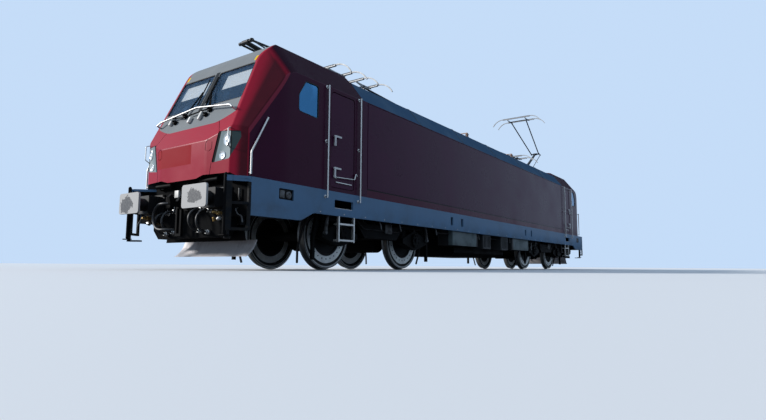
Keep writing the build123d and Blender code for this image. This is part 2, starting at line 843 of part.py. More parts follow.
# Shunter's step frames at the four corners, turned to follow the nose, and the ladders under the doors
step_corner = Location((skirt_end + step_bar / 2, step_y, 0), (0, 0, step_turn))
step_tip = (step_corner * Location((step_length - step_bar, 0, 0))).position
with BuildPart() as corner_steps:
    with BuildSketch(Plane.XY.offset(step_foot)):
        with Locations((skirt_end, step_y)):
            Rectangle(step_bar, step_bar, align=(Align.MIN, Align.CENTER))
        with Locations(step_corner * Location((step_length, 0, 0))):
            Rectangle(2 * step_bar, 1.5 * step_bar, align=(Align.MAX, Align.CENTER))
    extrude(amount=floor_top - step_foot)
    for z in (step_foot, step_foot + 375, floor_bottom - 40):
        with BuildSketch(Plane.XY.offset(z)):
            with Locations(step_corner):
                Rectangle(step_length - step_bar, step_bar, align=(Align.MIN, Align.CENTER))
        extrude(amount=step_bar)
    with BuildSketch(Plane.XY.offset(step_foot - 110)):
        with Locations(step_corner * Location((step_length - step_bar, -90, 0))):
            Rectangle(90, 220)
    extrude(amount=25)
    with BuildSketch(Plane.XY.offset(step_foot - 90)):
        with Locations(step_corner * Location((step_length - step_bar, 0, 0))):
            Rectangle(step_bar, step_bar)
    extrude(amount=90)
    with BuildSketch(Plane.XY.offset(floor_bottom)):
        with BuildLine():
            Polyline((skirt_end, step_y + step_bar / 2), (skirt_end + step_bar, step_y + step_bar / 2),
                     (step_tip.X, step_tip.Y + step_bar / 2), (step_tip.X, step_tip.Y - 80),
                     (skirt_end, step_tip.Y - 330), close=True)
        make_face()
    extrude(amount=floor_thickness)
    mirror(about=Plane.YZ)
    mirror(about=Plane.XZ)
save(corner_steps.part, "corner_steps")

with BuildPart() as door_ladders:
    for x in (ladder_x - ladder_half, ladder_x + ladder_half):
        with BuildSketch(Plane.XY.offset(ladder_foot)):
            with Locations((x, step_y)):
                Rectangle(30, skirt_thickness)
        extrude(amount=skirt_bottom - ladder_foot)
    for z in (ladder_foot + 15, ladder_foot + 300):
        with BuildSketch(Plane.XY.offset(z)):
            with Locations((ladder_x, half_width - 65)):
                Rectangle(2 * ladder_half, 130)
        extrude(amount=30)
    mirror(about=Plane.YZ)
    mirror(about=Plane.XZ)
save(door_ladders.part, "door_ladders")

# Handrails beside the doors, with their stand-offs
with BuildPart() as handrails:
    for x in door_rails:
        with BuildSketch(Plane.XY.offset(door_rail_foot)):
            with Locations((x, half_width + rail_stand)):
                Circle(rail_radius)
        extrude(amount=door_rail_length)
    mirror(about=Plane.YZ)
    mirror(about=Plane.XZ)
save(handrails.part, "handrails")

with BuildPart() as rail_brackets:
    for x in door_rails:
        for z in (door_rail_foot + 25, door_rail_foot + door_rail_length / 2, door_rail_foot + door_rail_length - 25):
            with BuildSketch(side_plane(half_width + rail_stand - rail_radius - seat_gap)):
                with Locations((x, z)):
                    Circle(14)
            extrude(amount=rail_stand - rail_radius - seat_gap)
    mirror(about=Plane.YZ)
    mirror(about=Plane.XZ)
save(rail_brackets.part, "rail_brackets")

# Under the floor between the bogies: the transformer and the equipment boxes beside it
with BuildPart() as transformer:
    with BuildSketch(Plane.XY.offset(transformer_bottom)):
        Rectangle(2 * transformer_half_x, 2 * transformer_half_y)
    extrude(amount=floor_bottom - transformer_bottom)
    chamfer(transformer.edges().filter_by(Axis.X).group_by(Axis.Z)[0], length=90)
save(transformer.part, "transformer")

box_outer = half_width - skirt_thickness - 13.5
box_inner = transformer_half_y + 50
with BuildPart() as underfloor_boxes:
    for x, half, bottom in ((box_x, box_half, box_bottom), (rib_box_x, rib_box_half, rib_box_bottom)):
        with BuildSketch(Plane.XY.offset(bottom)):
            with Locations((x, (box_outer + box_inner) / 2)):
                RectangleRounded(2 * half, box_outer - box_inner, 30)
        extrude(amount=floor_bottom - bottom)
    with BuildSketch(side_plane(box_outer)):
        with Locations((rib_box_x, (rib_box_bottom + skirt_bottom) / 2)):
            with GridLocations(rib_pitch, 0, 5, 1):
                Rectangle(rib_pitch / 2, skirt_bottom - rib_box_bottom - 80)
    extrude(amount=18, mode=Mode.SUBTRACT)
    mirror(about=Plane.YZ)
    mirror(about=Plane.XZ)
save(underfloor_boxes.part, "underfloor_boxes")

# Bogies: frame, axle boxes with springs, motors with gear cases
for name, centre in (("front", bogie_centre), ("rear", -bogie_centre)):
    with BuildPart() as bogie_frame:
        for y in (sill_y, -sill_y):
            with BuildSketch(side_plane(y + sill_width / 2)):
                with BuildLine():
                    Polyline(
                        (centre - sill_end, sill_end_top), (centre - sill_mid_half - sill_slope, sill_end_top),
                        (centre - sill_mid_half, sill_mid_top), (centre + sill_mid_half, sill_mid_top),
                        (centre + sill_mid_half + sill_slope, sill_end_top), (centre + sill_end, sill_end_top),
                        (centre + sill_end, sill_end_bottom),
                        (centre + sill_mid_half + sill_slope, sill_end_bottom),
                        (centre + sill_mid_half, sill_mid_bottom), (centre - sill_mid_half, sill_mid_bottom),
                        (centre - sill_mid_half - sill_slope, sill_end_bottom),
                        (centre - sill_end, sill_end_bottom), close=True,
                    )
                make_face()
            extrude(amount=sill_width)
            with BuildSketch(side_plane(y + 30)):
                for facing in (1, -1):
                    end_x = centre + facing * sill_end
                    tip_x = end_x + facing * guard_reach
                    with BuildLine():
                        Polyline((end_x, sill_end_bottom + 10), (end_x, sill_end_top - 40),
                                 (end_x + facing * 60, sill_end_top - 40), (tip_x, sill_end_bottom - 300),
                                 (tip_x, guard_bottom), (tip_x - facing * 60, guard_bottom),
                                 (tip_x - facing * 60, sill_end_bottom - 320), close=True)
                    make_face()
            extrude(amount=60)
        with BuildSketch(Plane.XY.offset(sill_mid_bottom)):
            with Locations((centre, 0)):
                Rectangle(2 * transom_half, 2 * sill_y - sill_width)
                Circle(pivot_radius + running_gap, mode=Mode.SUBTRACT)
        extrude(amount=sill_mid_top - sill_mid_bottom)
    save(bogie_frame.part, f"bogie_frame_{name}")

    with BuildPart() as axle_boxes:
        for axle_x in (centre - half_wheelbase, centre + half_wheelbase):
            for side in (1, -1):
                with BuildSketch(side_plane(side * sill_y + box_width / 2)):
                    with Locations((axle_x, axle_z)):
                        Circle(box_radius)
                    for step in (-primary_spring_offset, primary_spring_offset):
                        with Locations((axle_x + step, spring_foot - 55)):
                            RectangleRounded(2 * primary_spring_radius + 30, 110, 30)
                    make_hull()
                extrude(amount=box_width)
                with BuildSketch(side_plane(side * (sill_y + box_width / 2))):
                    with Locations((axle_x, axle_z)):
                        Circle(box_cap_radius)
                extrude(amount=-side * box_cap_depth)
                bore_start = side * (sill_y - box_width / 2 - 1)
                bore_length = box_width - box_wall_end + 1
                with BuildSketch(side_plane(bore_start)):
                    with Locations((axle_x, axle_z)):
                        Circle(journal_radius + running_gap)
                extrude(amount=-side * bore_length, mode=Mode.SUBTRACT)
                for step in (-primary_spring_offset, primary_spring_offset):
                    coil_pitch = (sill_end_bottom - spring_foot) / spring_coils
                    with BuildSketch(Plane.XY.offset(spring_foot)):
                        with Locations((axle_x + step, side * sill_y)):
                            Circle(0.72 * primary_spring_radius)
                    extrude(amount=sill_end_bottom - spring_foot)
                    for coil in range(spring_coils):
                        with BuildSketch(Plane.XY.offset(spring_foot + (coil + 0.25) * coil_pitch)):
                            with Locations((axle_x + step, side * sill_y)):
                                Circle(primary_spring_radius)
                        extrude(amount=coil_pitch / 2)
    save(axle_boxes.part, f"axle_boxes_{name}")

    with BuildPart() as main_springs:
        with BuildSketch(Plane.XY.offset(sill_mid_top)):
            for step in (-main_spring_pitch, 0, main_spring_pitch):
                for side in (1, -1):
                    with Locations((centre + step, side * sill_y)):
                        Circle(main_spring_radius)
        extrude(amount=floor_bottom - bolster_depth - seat_gap - sill_mid_top)
    save(main_springs.part, f"main_springs_{name}")

    with BuildPart() as motors:
        for facing in (1, -1):
            motor_x = centre + facing * motor_offset
            axle_x = centre + facing * half_wheelbase
            with BuildSketch(side_plane(motor_half)):
                with Locations((motor_x, motor_z)):
                    Circle(motor_radius)
                with Locations((centre + facing * transom_half, motor_z + 80)):
                    Rectangle(300, 120, align=(Align.MIN if facing > 0 else Align.MAX, Align.CENTER))
            extrude(amount=2 * motor_half)
            with BuildSketch(side_plane(facing * gear_case_y + gear_case_width / 2)):
                with BuildLine():
                    Polyline((motor_x, motor_z - 190), (axle_x, axle_z - gear_case_radius),
                             (axle_x + facing * 250, axle_z - 120), (axle_x + facing * 250, axle_z + 120),
                             (axle_x, axle_z + gear_case_radius), (motor_x, motor_z + 190), close=True)
                make_face()
                with Locations((axle_x, axle_z)):
                    Circle(axle_radius + clear_gap, mode=Mode.SUBTRACT)
            extrude(amount=gear_case_width)
            with BuildSketch(side_plane(facing * (motor_half + gear_case_y) / 2 + 60)):
                with Locations((motor_x, motor_z)):
                    Circle(150)
            extrude(amount=120)
    save(motors.part, f"motors_{name}")

    for number, facing in ((1, 1), (2, -1)):
        axle_x = centre + facing * half_wheelbase
        with BuildPart() as wheelset:
            with BuildSketch(Plane.XY.offset(axle_z)):
                with BuildLine():
                    Polyline(*[(axle_x + radius, y) for y, radius in wheel_profile], close=True)
                make_face()
            revolve(axis=Axis((axle_x, 0, axle_z), (0, 1, 0)))
            mirror(about=Plane.XZ)
        save(wheelset.part, f"wheelset_{name}_{number}")

# Roof line: post insulators with a bus bar along each side
with BuildPart() as bus_bars:
    for side in (1, -1):
        with BuildSketch(end_plane(-bus_reach)):
            with Locations((side * bus_y, bus_z)):
                Circle(bus_radius)
        extrude(amount=2 * bus_reach)
        for x in link_posts:
            with BuildSketch(side_plane(side * bus_y)):
                with Locations((side * x, bus_z)):
                    Circle(0.7 * bus_radius)
            extrude(amount=-side * (link_y - bus_y + 0.7 * bus_radius))
save(bus_bars.part, "bus_bars")


def insulator(x, y, height):
    """A ribbed post insulator of this height, standing on the roof deck at (x, y)."""
    sheds = round(height / shed_pitch)
    pitch = height / sheds
    rim = [(insulator_core, 0), (0, 0), (0, height), (insulator_core, height)]
    for shed in reversed(range(sheds)):
        foot = shed * pitch
        rim += [(insulator_core, foot + 0.65 * pitch), (insulator_radius, foot + 0.4 * pitch),
                (insulator_radius, foot + 0.3 * pitch), (insulator_core, foot + 0.25 * pitch)]
    with BuildPart() as post:
        with BuildSketch(Plane.XZ):
            with BuildLine():
                Polyline(*rim, close=True)
            make_face()
        revolve(axis=Axis.Z)
    return post.part.moved(Location((x, y, deck_z)))


with BuildPart() as roof_insulators:
    bus_post = bus_z - bus_radius - seat_gap - deck_z
    link_post = bus_z - 0.7 * bus_radius - seat_gap - deck_z
    for side in (1, -1):
        for x in bus_posts:
            add(insulator(x, side * bus_y, bus_post))
        for x in link_posts:
            add(insulator(side * x, side * link_y, link_post))
    for label, pivot_x, direction, angle in collectors:
        for reach in (-insulator_radius - 14, -base_front + insulator_inset):
            for side in (1, -1):
                add(insulator(pivot_x + direction * reach, side * (base_half - base_tube / 2),
                              base_top - base_tube - deck_z))
save(roof_insulators.part, "roof_insulators")

# Collectors: base frame, lower arm, upper arm, head and coupling rod
with BuildPart() as collector_bases:
    for label, pivot_x, direction, angle in collectors:
        front = pivot_x + direction * base_back
        back = pivot_x - direction * base_front
        with BuildSketch(Plane.XY.offset(base_top - base_tube)):
            with Locations(((front + back) / 2, 0)):
                Rectangle(base_front + base_back, 2 * base_half)
            with Locations((front - direction * base_beam, 0)):
                Rectangle(base_front + base_back - base_beam - base_tube, 2 * (base_half - base_tube),
                          align=(Align.MAX if direction > 0 else Align.MIN, Align.CENTER), mode=Mode.SUBTRACT)
        extrude(amount=base_tube)
        for side in (1, -1):
            with BuildSketch(side_plane(side * base_lug_y + lug_thickness / 2)):
                with Locations((pivot_x, base_top)):
                    Rectangle(100, pivot_z - base_top, align=(Align.CENTER, Align.MIN))
                with Locations((pivot_x, pivot_z)):
                    Circle(50)
                    Circle(base_shaft + running_gap, mode=Mode.SUBTRACT)
            extrude(amount=lug_thickness)
        rod_root = (pivot_x + direction * rod_root_x, pivot_z + rod_root_z)
        with BuildSketch(side_plane(rod_y - rod_radius - seat_gap)):
            with Locations(rod_root):
                Circle(24)
                Rectangle(rod_root_x - base_back + 20, 34, align=(Align.MAX if direction > 0 else Align.MIN, Align.CENTER))
        extrude(amount=16)
        with BuildSketch(side_plane(rod_y + rod_radius)):
            with Locations(rod_root):
                Circle(rod_pin)
        extrude(amount=2 * rod_radius + 1)
save(collector_bases.part, "collector_bases")


def arm_plane(x, z, direction, angle):
    """An upright plane at (x, z) whose local X runs along an arm raised by angle, local Y above it."""
    along = (direction * cos(radians(angle)), 0, sin(radians(angle)))
    return Plane(origin=(x, 0, z), x_dir=along, z_dir=(0, -direction, 0))


for label, pivot_x, direction, angle in collectors:
    upper_angle = lowered_upper_angle + upper_share * (angle - lowered_angle)
    lower_plane = arm_plane(pivot_x, pivot_z, direction, angle)
    knee = lower_plane.from_local_coords((arm_lower, 0, 0))
    upper_plane = arm_plane(knee.X, knee.Z, -direction, upper_angle)
    head = upper_plane.from_local_coords((arm_upper, 0, 0))
    turn = radians(rod_lever_turn)
    lever_tip = (-rod_lever * cos(turn), rod_lever * sin(turn))
    lever_end = upper_plane.from_local_coords((*lever_tip, 0))
    rod_root = Vector(pivot_x + direction * rod_root_x, 0, pivot_z + rod_root_z)

    with BuildPart() as lower_arm:
        with BuildSketch(Plane(origin=lower_plane.origin, z_dir=lower_plane.x_dir)):
            Circle(lower_tube)
        extrude(amount=arm_lower, taper=lower_taper)
        for middle, radius, half in (
            (lower_plane.origin, base_hub, base_lug_y - lug_thickness / 2 - 1),
            (lower_plane.origin, base_shaft, base_shaft_half),
            (knee, knee_sleeve_radius, knee_sleeve_half),
        ):
            with BuildSketch(side_plane(half)):
                with Locations((middle.X, middle.Z)):
                    Circle(radius)
            extrude(amount=2 * half)
        with BuildSketch(side_plane(knee_sleeve_half)):
            with Locations((knee.X, knee.Z)):
                Circle(knee_pin + running_gap)
        extrude(amount=2 * knee_sleeve_half, mode=Mode.SUBTRACT)
    save(lower_arm.part, f"lower_arm_{label}")

    with BuildPart() as upper_arm:
        for middle, radius, half in ((knee, knee_pin, upper_knee_y), (head, head_pin, head_pin_half)):
            with BuildSketch(side_plane(half)):
                with Locations((middle.X, middle.Z)):
                    Circle(radius)
            extrude(amount=2 * half)
        for side in (1, -1):
            start = Vector(knee.X, side * upper_knee_y, knee.Z)
            end = Vector(head.X, side * upper_head_y, head.Z)
            with BuildSketch(Plane(origin=start, z_dir=end - start)):
                Circle(upper_tube)
            extrude(amount=(end - start).length)
            with BuildSketch(side_plane(side * upper_knee_y + 22)):
                with Locations((knee.X, knee.Z)):
                    Circle(1.5 * upper_tube)
            extrude(amount=44)
        lever_face = upper_knee_y + 22
        with BuildSketch(upper_plane.offset(direction * lever_face)):
            Circle(1.4 * knee_pin)
            with Locations(lever_tip):
                Circle(2 * rod_pin)
            make_hull()
        extrude(amount=direction * lever_thickness)
        with BuildSketch(side_plane(rod_y + rod_radius)):
            with Locations((lever_end.X, lever_end.Z)):
                Circle(rod_pin * 0.7)
        extrude(amount=rod_y + rod_radius - lever_face - lever_thickness / 2)
    save(upper_arm.part, f"upper_arm_{label}")

    with BuildPart() as collector_head:
        for side in (1, -1):
            with BuildSketch(side_plane(side * hanger_y + hanger_thickness / 2)):
                with BuildLine():
                    Polyline(*[(head.X + x, head.Z + z) for x, z in hanger_outline], close=True)
                make_face()
                with Locations((head.X, head.Z)):
                    Circle(head_pin + running_gap, mode=Mode.SUBTRACT)
            extrude(amount=hanger_thickness)
        for step in (-strip_offset, strip_offset):
            with BuildSketch(end_plane(head.X + step - strip_width / 2)):
                with Locations((0, head.Z + strip_rise + strip_height / 2)):
                    Rectangle(2 * strip_half, strip_height)
            extrude(amount=strip_width)
            for side in (1, -1):
                crown = head.Z + strip_rise + strip_height
                with BuildSketch(end_plane(head.X + step - horn_width / 2)):
                    with BuildLine():
                        for drop in (0, horn_width):
                            ThreePointArc(
                                (side * strip_half, crown - drop),
                                (side * (horn_reach - 180 - drop / 2), crown - 62 - 0.85 * drop),
                                (side * (horn_reach - drop), crown - horn_drop),
                            )
                        Line((side * strip_half, crown), (side * strip_half, crown - horn_width))
                        Line((side * horn_reach, crown - horn_drop), (side * (horn_reach - horn_width), crown - horn_drop))
                    make_face()
                extrude(amount=horn_width)
    save(collector_head.part, f"collector_head_{label}")

    with BuildPart() as coupling_rod:
        root_eye = Vector(rod_root.X, rod_y, rod_root.Z)
        far_eye = Vector(lever_end.X, rod_y, lever_end.Z)
        with BuildSketch(Plane(origin=root_eye, z_dir=far_eye - root_eye)):
            Circle(rod_radius - 2)
        extrude(amount=(far_eye - root_eye).length)
        for eye, bore, ring in (
            (root_eye, rod_pin + running_gap, 2.4 * rod_pin),
            (far_eye, rod_pin * 0.7 + rod_eye_play, rod_pin * 0.7 + rod_eye_play + 10),
        ):
            with BuildSketch(side_plane(rod_y + rod_radius - 1)):
                with Locations((eye.X, eye.Z)):
                    Circle(ring)
            extrude(amount=2 * rod_radius - 2)
            with BuildSketch(side_plane(rod_y + rod_radius)):
                with Locations((eye.X, eye.Z)):
                    Circle(bore)
            extrude(amount=2 * rod_radius, mode=Mode.SUBTRACT)
    save(coupling_rod.part, f"coupling_rod_{label}")

# Grab rail bowed out in front of each windscreen, on the slope above the nose
with BuildPart() as screen_rails:
    bend_y = screen_rail_half - 85
    bend_slope = screen_rail_slope + 62
    with BuildLine(screen_plane.offset(screen_rail_stand)) as route:
        FilletPolyline((-screen_rail_half, screen_rail_slope), (-bend_y, bend_slope), (0, screen_rail_crown),
                       (bend_y, bend_slope), (screen_rail_half, screen_rail_slope), radius=110)
    with BuildSketch(Plane(origin=route.line @ 0, z_dir=route.line % 0)):
        Circle(rail_radius)
    sweep()
    with BuildSketch(screen_plane.offset(seat_gap)):
        for side in (1, -1):
            with Locations((side * (screen_rail_half - 8), screen_rail_slope + 6)):
                Circle(rail_radius + 1)
    extrude(amount=screen_rail_stand)
    mirror(about=Plane.YZ)
save(screen_rails.part, "screen_rails")

# Wipers: a pivot on the slope under each pane, the arm and the blade
with BuildPart() as wipers:
    for side in (1, -1):
        with BuildSketch(screen_plane):
            with Locations((side * wiper_y, wiper_slope)):
                Circle(28)
        extrude(amount=30)
        with BuildSketch(screen_plane.offset(22)):
            with BuildLine():
                Polyline((side * (wiper_y - 12), wiper_slope), (side * (wiper_y + 12), wiper_slope),
                         (side * (blade_y + 8), blade_foot + 290), (side * (blade_y - 8), blade_foot + 280), close=True)
            make_face()
            with Locations((side * blade_y, blade_foot + blade_length / 2)):
                Rectangle(18, blade_length)
        extrude(amount=14)
    mirror(about=Plane.YZ)
save(wipers.part, "wipers")

# Bent rails on the cab's tapered sides, and the handles at the outer edges of the headlamps
with BuildPart() as corner_rails:
    taper_back, taper_end, nose_corner = [
        Vector(nose_x - back, half_width - drop) for back, drop, rounding in nose_plan[:3]
    ]
    along = (taper_end - taper_back).normalized()
    outward = Vector(-along.Y, along.X)
    rail_plane = Plane(origin=taper_back + outward * rail_stand, x_dir=along, z_dir=-outward)
    rail_reach = (taper_end - taper_back).length - 26
    with BuildLine(rail_plane) as route:
        FilletPolyline((rail_reach - 256, corner_rail_top), (rail_reach, corner_rail_knee),
                       (rail_reach, corner_rail_foot), radius=120)
    with BuildSketch(Plane(origin=route.line @ 0, z_dir=route.line % 0)):
        Circle(rail_radius)
    sweep()
    with BuildSketch(rail_plane):
        for x, z in ((rail_reach - 244, corner_rail_top - 26), (rail_reach, corner_rail_foot + 25)):
            with Locations((x, z)):
                Circle(12)
    extrude(amount=rail_stand - seat_gap)
    facing = Vector(cos(radians(nose_handle_turn)), sin(radians(nose_handle_turn)))
    with BuildLine(Plane(origin=nose_corner, x_dir=facing, z_dir=facing.cross(Vector(0, 0, 1)))) as route:
        FilletPolyline((1.3, nose_handle_top), (nose_handle_out, nose_handle_top - 20),
                       (nose_handle_out, nose_handle_foot + 50), (5 - lamp_recess, nose_handle_foot), radius=28)
    with BuildSketch(Plane(origin=route.line @ 0, z_dir=route.line % 0)):
        Circle(nose_handle_radius)
    sweep()
    mirror(about=Plane.YZ)
    mirror(about=Plane.XZ)
save(corner_rails.part, "corner_rails")

# Air hoses between the cocks on each headstock
with BuildPart() as brake_hoses:
    for side in (1, -1):
        for y, height, fall in hoses:
            top = rail_top + height
            front = skirt_end + 190
            with BuildLine(side_plane(side * y)) as route:
                Line((skirt_end, top), (front - 90, top))
                JernArc((front - 90, top), (1, 0), 90, -90)
                Line((front, top - 90), (front, top - 90 - fall))
                JernArc((front, top - 90 - fall), (0, -1), 75, -180)
            with BuildSketch(Plane(origin=route.line @ 0, z_dir=route.line % 0)):
                Circle(hose_radius)
            sweep()
    mirror(about=Plane.YZ)
save(brake_hoses.part, "brake_hoses")
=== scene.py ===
import bpy
import numpy as np
from mathutils import Matrix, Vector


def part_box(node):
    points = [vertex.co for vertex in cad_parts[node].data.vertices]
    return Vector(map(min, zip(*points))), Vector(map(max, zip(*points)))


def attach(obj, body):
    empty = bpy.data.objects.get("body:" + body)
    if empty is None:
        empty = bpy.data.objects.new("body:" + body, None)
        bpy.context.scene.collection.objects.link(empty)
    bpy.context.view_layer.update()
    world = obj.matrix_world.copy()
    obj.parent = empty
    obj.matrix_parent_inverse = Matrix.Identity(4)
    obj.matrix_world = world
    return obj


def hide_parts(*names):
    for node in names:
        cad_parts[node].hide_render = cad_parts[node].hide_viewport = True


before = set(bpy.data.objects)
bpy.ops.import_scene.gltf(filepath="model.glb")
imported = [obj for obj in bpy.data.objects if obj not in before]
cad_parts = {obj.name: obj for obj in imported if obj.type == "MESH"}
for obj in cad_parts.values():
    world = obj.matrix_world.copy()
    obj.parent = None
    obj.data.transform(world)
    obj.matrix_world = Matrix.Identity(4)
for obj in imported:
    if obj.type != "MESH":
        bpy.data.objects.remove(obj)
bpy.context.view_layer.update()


# Camera and studio
# A wide lens close to the floor, off the front left corner, looks a little upwards along the train.
# The floor and the backdrop are plain and pale. One soft lamp stands ahead and to the right, low.
camera_place = np.array([13.858, 7.351, 0.091])
camera_yaw = np.radians(35.48)
camera_pitch = np.radians(6.14)
camera_roll = np.radians(0.41)
picture_width = 766
focal_pixels = 517.4
sensor_width = 36.0

ahead = np.array([-np.cos(camera_yaw) * np.cos(camera_pitch), -np.sin(camera_yaw) * np.cos(camera_pitch),
                  np.sin(camera_pitch)])
level = np.cross(ahead, (0.0, 0.0, 1.0))
level /= np.linalg.norm(level)
upright = np.cross(level, ahead)
picture_right = level * np.cos(camera_roll) + upright * np.sin(camera_roll)
picture_up = upright * np.cos(camera_roll) - level * np.sin(camera_roll)

camera_data = bpy.data.cameras.new("camera")
camera_data.sensor_width = sensor_width
camera_data.lens = focal_pixels / picture_width * sensor_width
camera_data.clip_end = 500.0
camera = bpy.data.objects.new("camera", camera_data)
camera_axes = np.eye(4)
camera_axes[:3] = np.stack([picture_right, picture_up, -ahead, camera_place], -1)
camera.matrix_world = Matrix(camera_axes.tolist())
bpy.context.collection.objects.link(camera)
bpy.context.scene.camera = camera

sun_direction = np.array([0.60, -0.70, 0.38])
sun_data = bpy.data.lights.new("soft_lamp", "SUN")
sun_data.energy = 3.8
sun_data.angle = np.radians(10)
sun_data.color = (1.0, 0.97, 0.93)
sun = bpy.data.objects.new("soft_lamp", sun_data)
sun.rotation_euler = (np.arccos(sun_direction[2] / np.linalg.norm(sun_direction)), 0.0,
                      np.arctan2(sun_direction[0], -sun_direction[1]))
bpy.context.collection.objects.link(sun)


class Value:
    """A quantity that changes over a surface. A sum or product of values adds its Math nodes."""

    def __init__(self, finish, socket):
        self.finish = finish
        self.socket = socket

    def math(self, operation, *inputs):
        return self.finish.add("ShaderNodeMath", {"operation": operation}, dict(enumerate(inputs)))

    def __add__(self, other):
        return self.math("ADD", self, other)

    def __sub__(self, other):
        return self.math("SUBTRACT", self, other)

    def __rsub__(self, other):
        return self.math("SUBTRACT", other, self)

    def __mul__(self, other):
        return self.math("MULTIPLY", self, other)

    def __pow__(self, other):
        return self.math("POWER", self, other)

    def __abs__(self):
        return self.math("ABSOLUTE", self)

    __radd__ = __add__
    __rmul__ = __mul__

    def most(self, other):
        return self.math("MAXIMUM", self, other)

    def least(self, other):
        return self.math("MINIMUM", self, other)

    def rise(self, low, high):
        """A smooth ramp, 0 where the value is low and 1 where it is high."""
        return self.finish.add("ShaderNodeMapRange", {"interpolation_type": "SMOOTHSTEP"},
                               {0: self, 1: low, 2: high, 3: 0.0, 4: 1.0})

    def band(self, low, high, edge):
        """1 between low and high, 0 outside, with ramps as wide as edge."""
        return self.rise(low - edge, low) * (1 - self.rise(high, high + edge))


class Finish:
    """A material being made: one principled shader and the nodes that feed it."""

    def __init__(self, name, specular=0.5, **constants):
        self.material = bpy.data.materials.new(name)
        self.material.use_nodes = True
        self.tree = self.material.node_tree
        self.shader = self.tree.nodes["Principled BSDF"]
        self.shader.inputs["Specular IOR Level"].default_value = specular
        for socket, value in constants.items():
            self.shader.inputs[socket].default_value = value

    def feed(self, socket, value):
        if isinstance(value, Value):
            self.tree.links.new(value.socket, socket)
        elif socket.type == "RGBA":
            socket.default_value = (*value, 1.0)
        else:
            socket.default_value = value

    def add(self, kind, settings, values, output=0):
        """A node of that kind. values are numbers, colours or Values, by socket number or name."""
        node = self.tree.nodes.new(kind)
        for key, value in settings.items():
            setattr(node, key, value)
        for socket, value in values.items():
            self.feed(node.inputs[socket], value)
        return Value(self, node.outputs[output])

    def split(self, vector):
        node = self.add("ShaderNodeSeparateXYZ", {}, {0: vector}).socket.node
        return [Value(self, node.outputs[axis]) for axis in "XYZ"]

    def position(self):
        """The place on the object, in metres, as its X, Y and Z."""
        return self.split(self.add("ShaderNodeTexCoord", {}, {}, "Object"))

    def facing(self):
        """The X, Y and Z of the surface's direction."""
        return self.split(self.add("ShaderNodeNewGeometry", {}, {}, "Normal"))

    def noise(self, scale, detail=3.0, stretch=(1, 1, 1), roughness=0.5):
        """Noise from 0 to 1 on object coordinates, in cells per metre, stretched along the axes."""
        place = self.add("ShaderNodeTexCoord", {}, {}, "Object")
        drawn = self.add("ShaderNodeMapping", {}, {0: place, "Scale": stretch})
        return self.add("ShaderNodeTexNoise", {}, {"Vector": drawn, "Scale": scale, "Detail": detail,
                                                   "Roughness": roughness})

    def blend(self, first, second, share):
        """The first colour where share is 0 and the second where it is 1."""
        return self.add("ShaderNodeMix", {"data_type": "RGBA"}, {0: share, 6: first, 7: second}, 2)

    def bump(self, height, distance, strength=1.0):
        return self.add("ShaderNodeBump", {}, {"Height": height, "Distance": distance, "Strength": strength})

    def set(self, **varying):
        """Feeds the shader's sockets with what changes over the surface."""
        for socket, value in varying.items():
            self.feed(self.shader.inputs[socket.replace("_", " ")], value)
        return self.material


floor_seen = (0.80, 0.81, 0.82)
floor_lit = (0.07, 0.07, 0.075)
floor_size = 400.0
floor_mesh = bpy.data.meshes.new("floor")
floor_corners = floor_size / 2 * np.array([(-1, -1, 0), (1, -1, 0), (1, 1, 0), (-1, 1, 0)])
floor_mesh.from_pydata(floor_corners.tolist(), [], [(0, 1, 2, 3)])
floor = bpy.data.objects.new("floor", floor_mesh)
bpy.context.collection.objects.link(floor)
floor_finish = Finish("studio_floor", Roughness=0.9)
straight = floor_finish.add("ShaderNodeLightPath", {}, {}, "Is Camera Ray")
floor_mesh.materials.append(floor_finish.set(Base_Color=floor_finish.blend(floor_lit, floor_seen, straight)))

backdrop_colour = (0.56, 0.72, 0.94)
fill_strength = 0.58
world = bpy.data.worlds.new("backdrop")
world.use_nodes = True
world_nodes = world.node_tree.nodes
world_links = world.node_tree.links
backdrop = world_nodes["Background"]
backdrop.inputs["Color"].default_value = (*backdrop_colour, 1.0)
rays = world_nodes.new("ShaderNodeLightPath")
seen = rays.outputs["Is Camera Ray"]
for kind in ("Is Transmission Ray", "Is Glossy Ray"):
    either = world_nodes.new("ShaderNodeMath")
    either.operation = "MAXIMUM"
    world_links.new(seen, either.inputs[0])
    world_links.new(rays.outputs[kind], either.inputs[1])
    seen = either.outputs[0]
strength = world_nodes.new("ShaderNodeMapRange")
strength.inputs["To Min"].default_value = fill_strength
strength.inputs["To Max"].default_value = 1.0
world_links.new(seen, strength.inputs["Value"])
world_links.new(strength.outputs[0], backdrop.inputs["Strength"])
bpy.context.scene.world = world
bpy.context.scene.view_settings.view_transform = "Standard"


# Wheelsets
# Rolled steel wheels on forged axles. The treads are bright where they run, the rest is dull with
# brown brake dust, and ring-shaped brake discs are clamped to the webs by a ring of dark bolts.
x_axis = (1, 0, 0)
y_axis = (0, 1, 0)
z_axis = (0, 0, 1)
origin = (0, 0, 0)
rail_top = 0.028
wheel_radius = 0.625
axle_height = wheel_radius + rail_top
wheel_back = 0.60
wheel_face = 0.809
hub_edge = 0.355
disc_inner = 0.390
disc_outer = 0.522
rim_ring_inner = wheel_radius - 0.046
rim_ring_outer = wheel_radius - 0.024
disc_bolt_ring = 0.445
disc_bolts = 24
turning_rate = 900.0
bogie_centres = {"front": 5.22, "rear": -5.22}
half_wheelbase = 1.3
hub_black = (0.004, 0.004, 0.005)
steel_dust = (0.012, 0.010, 0.009)
steel_dull = (0.018, 0.018, 0.019)
steel_bright = (0.30, 0.30, 0.29)
disc_grey = (0.86, 0.88, 0.86)


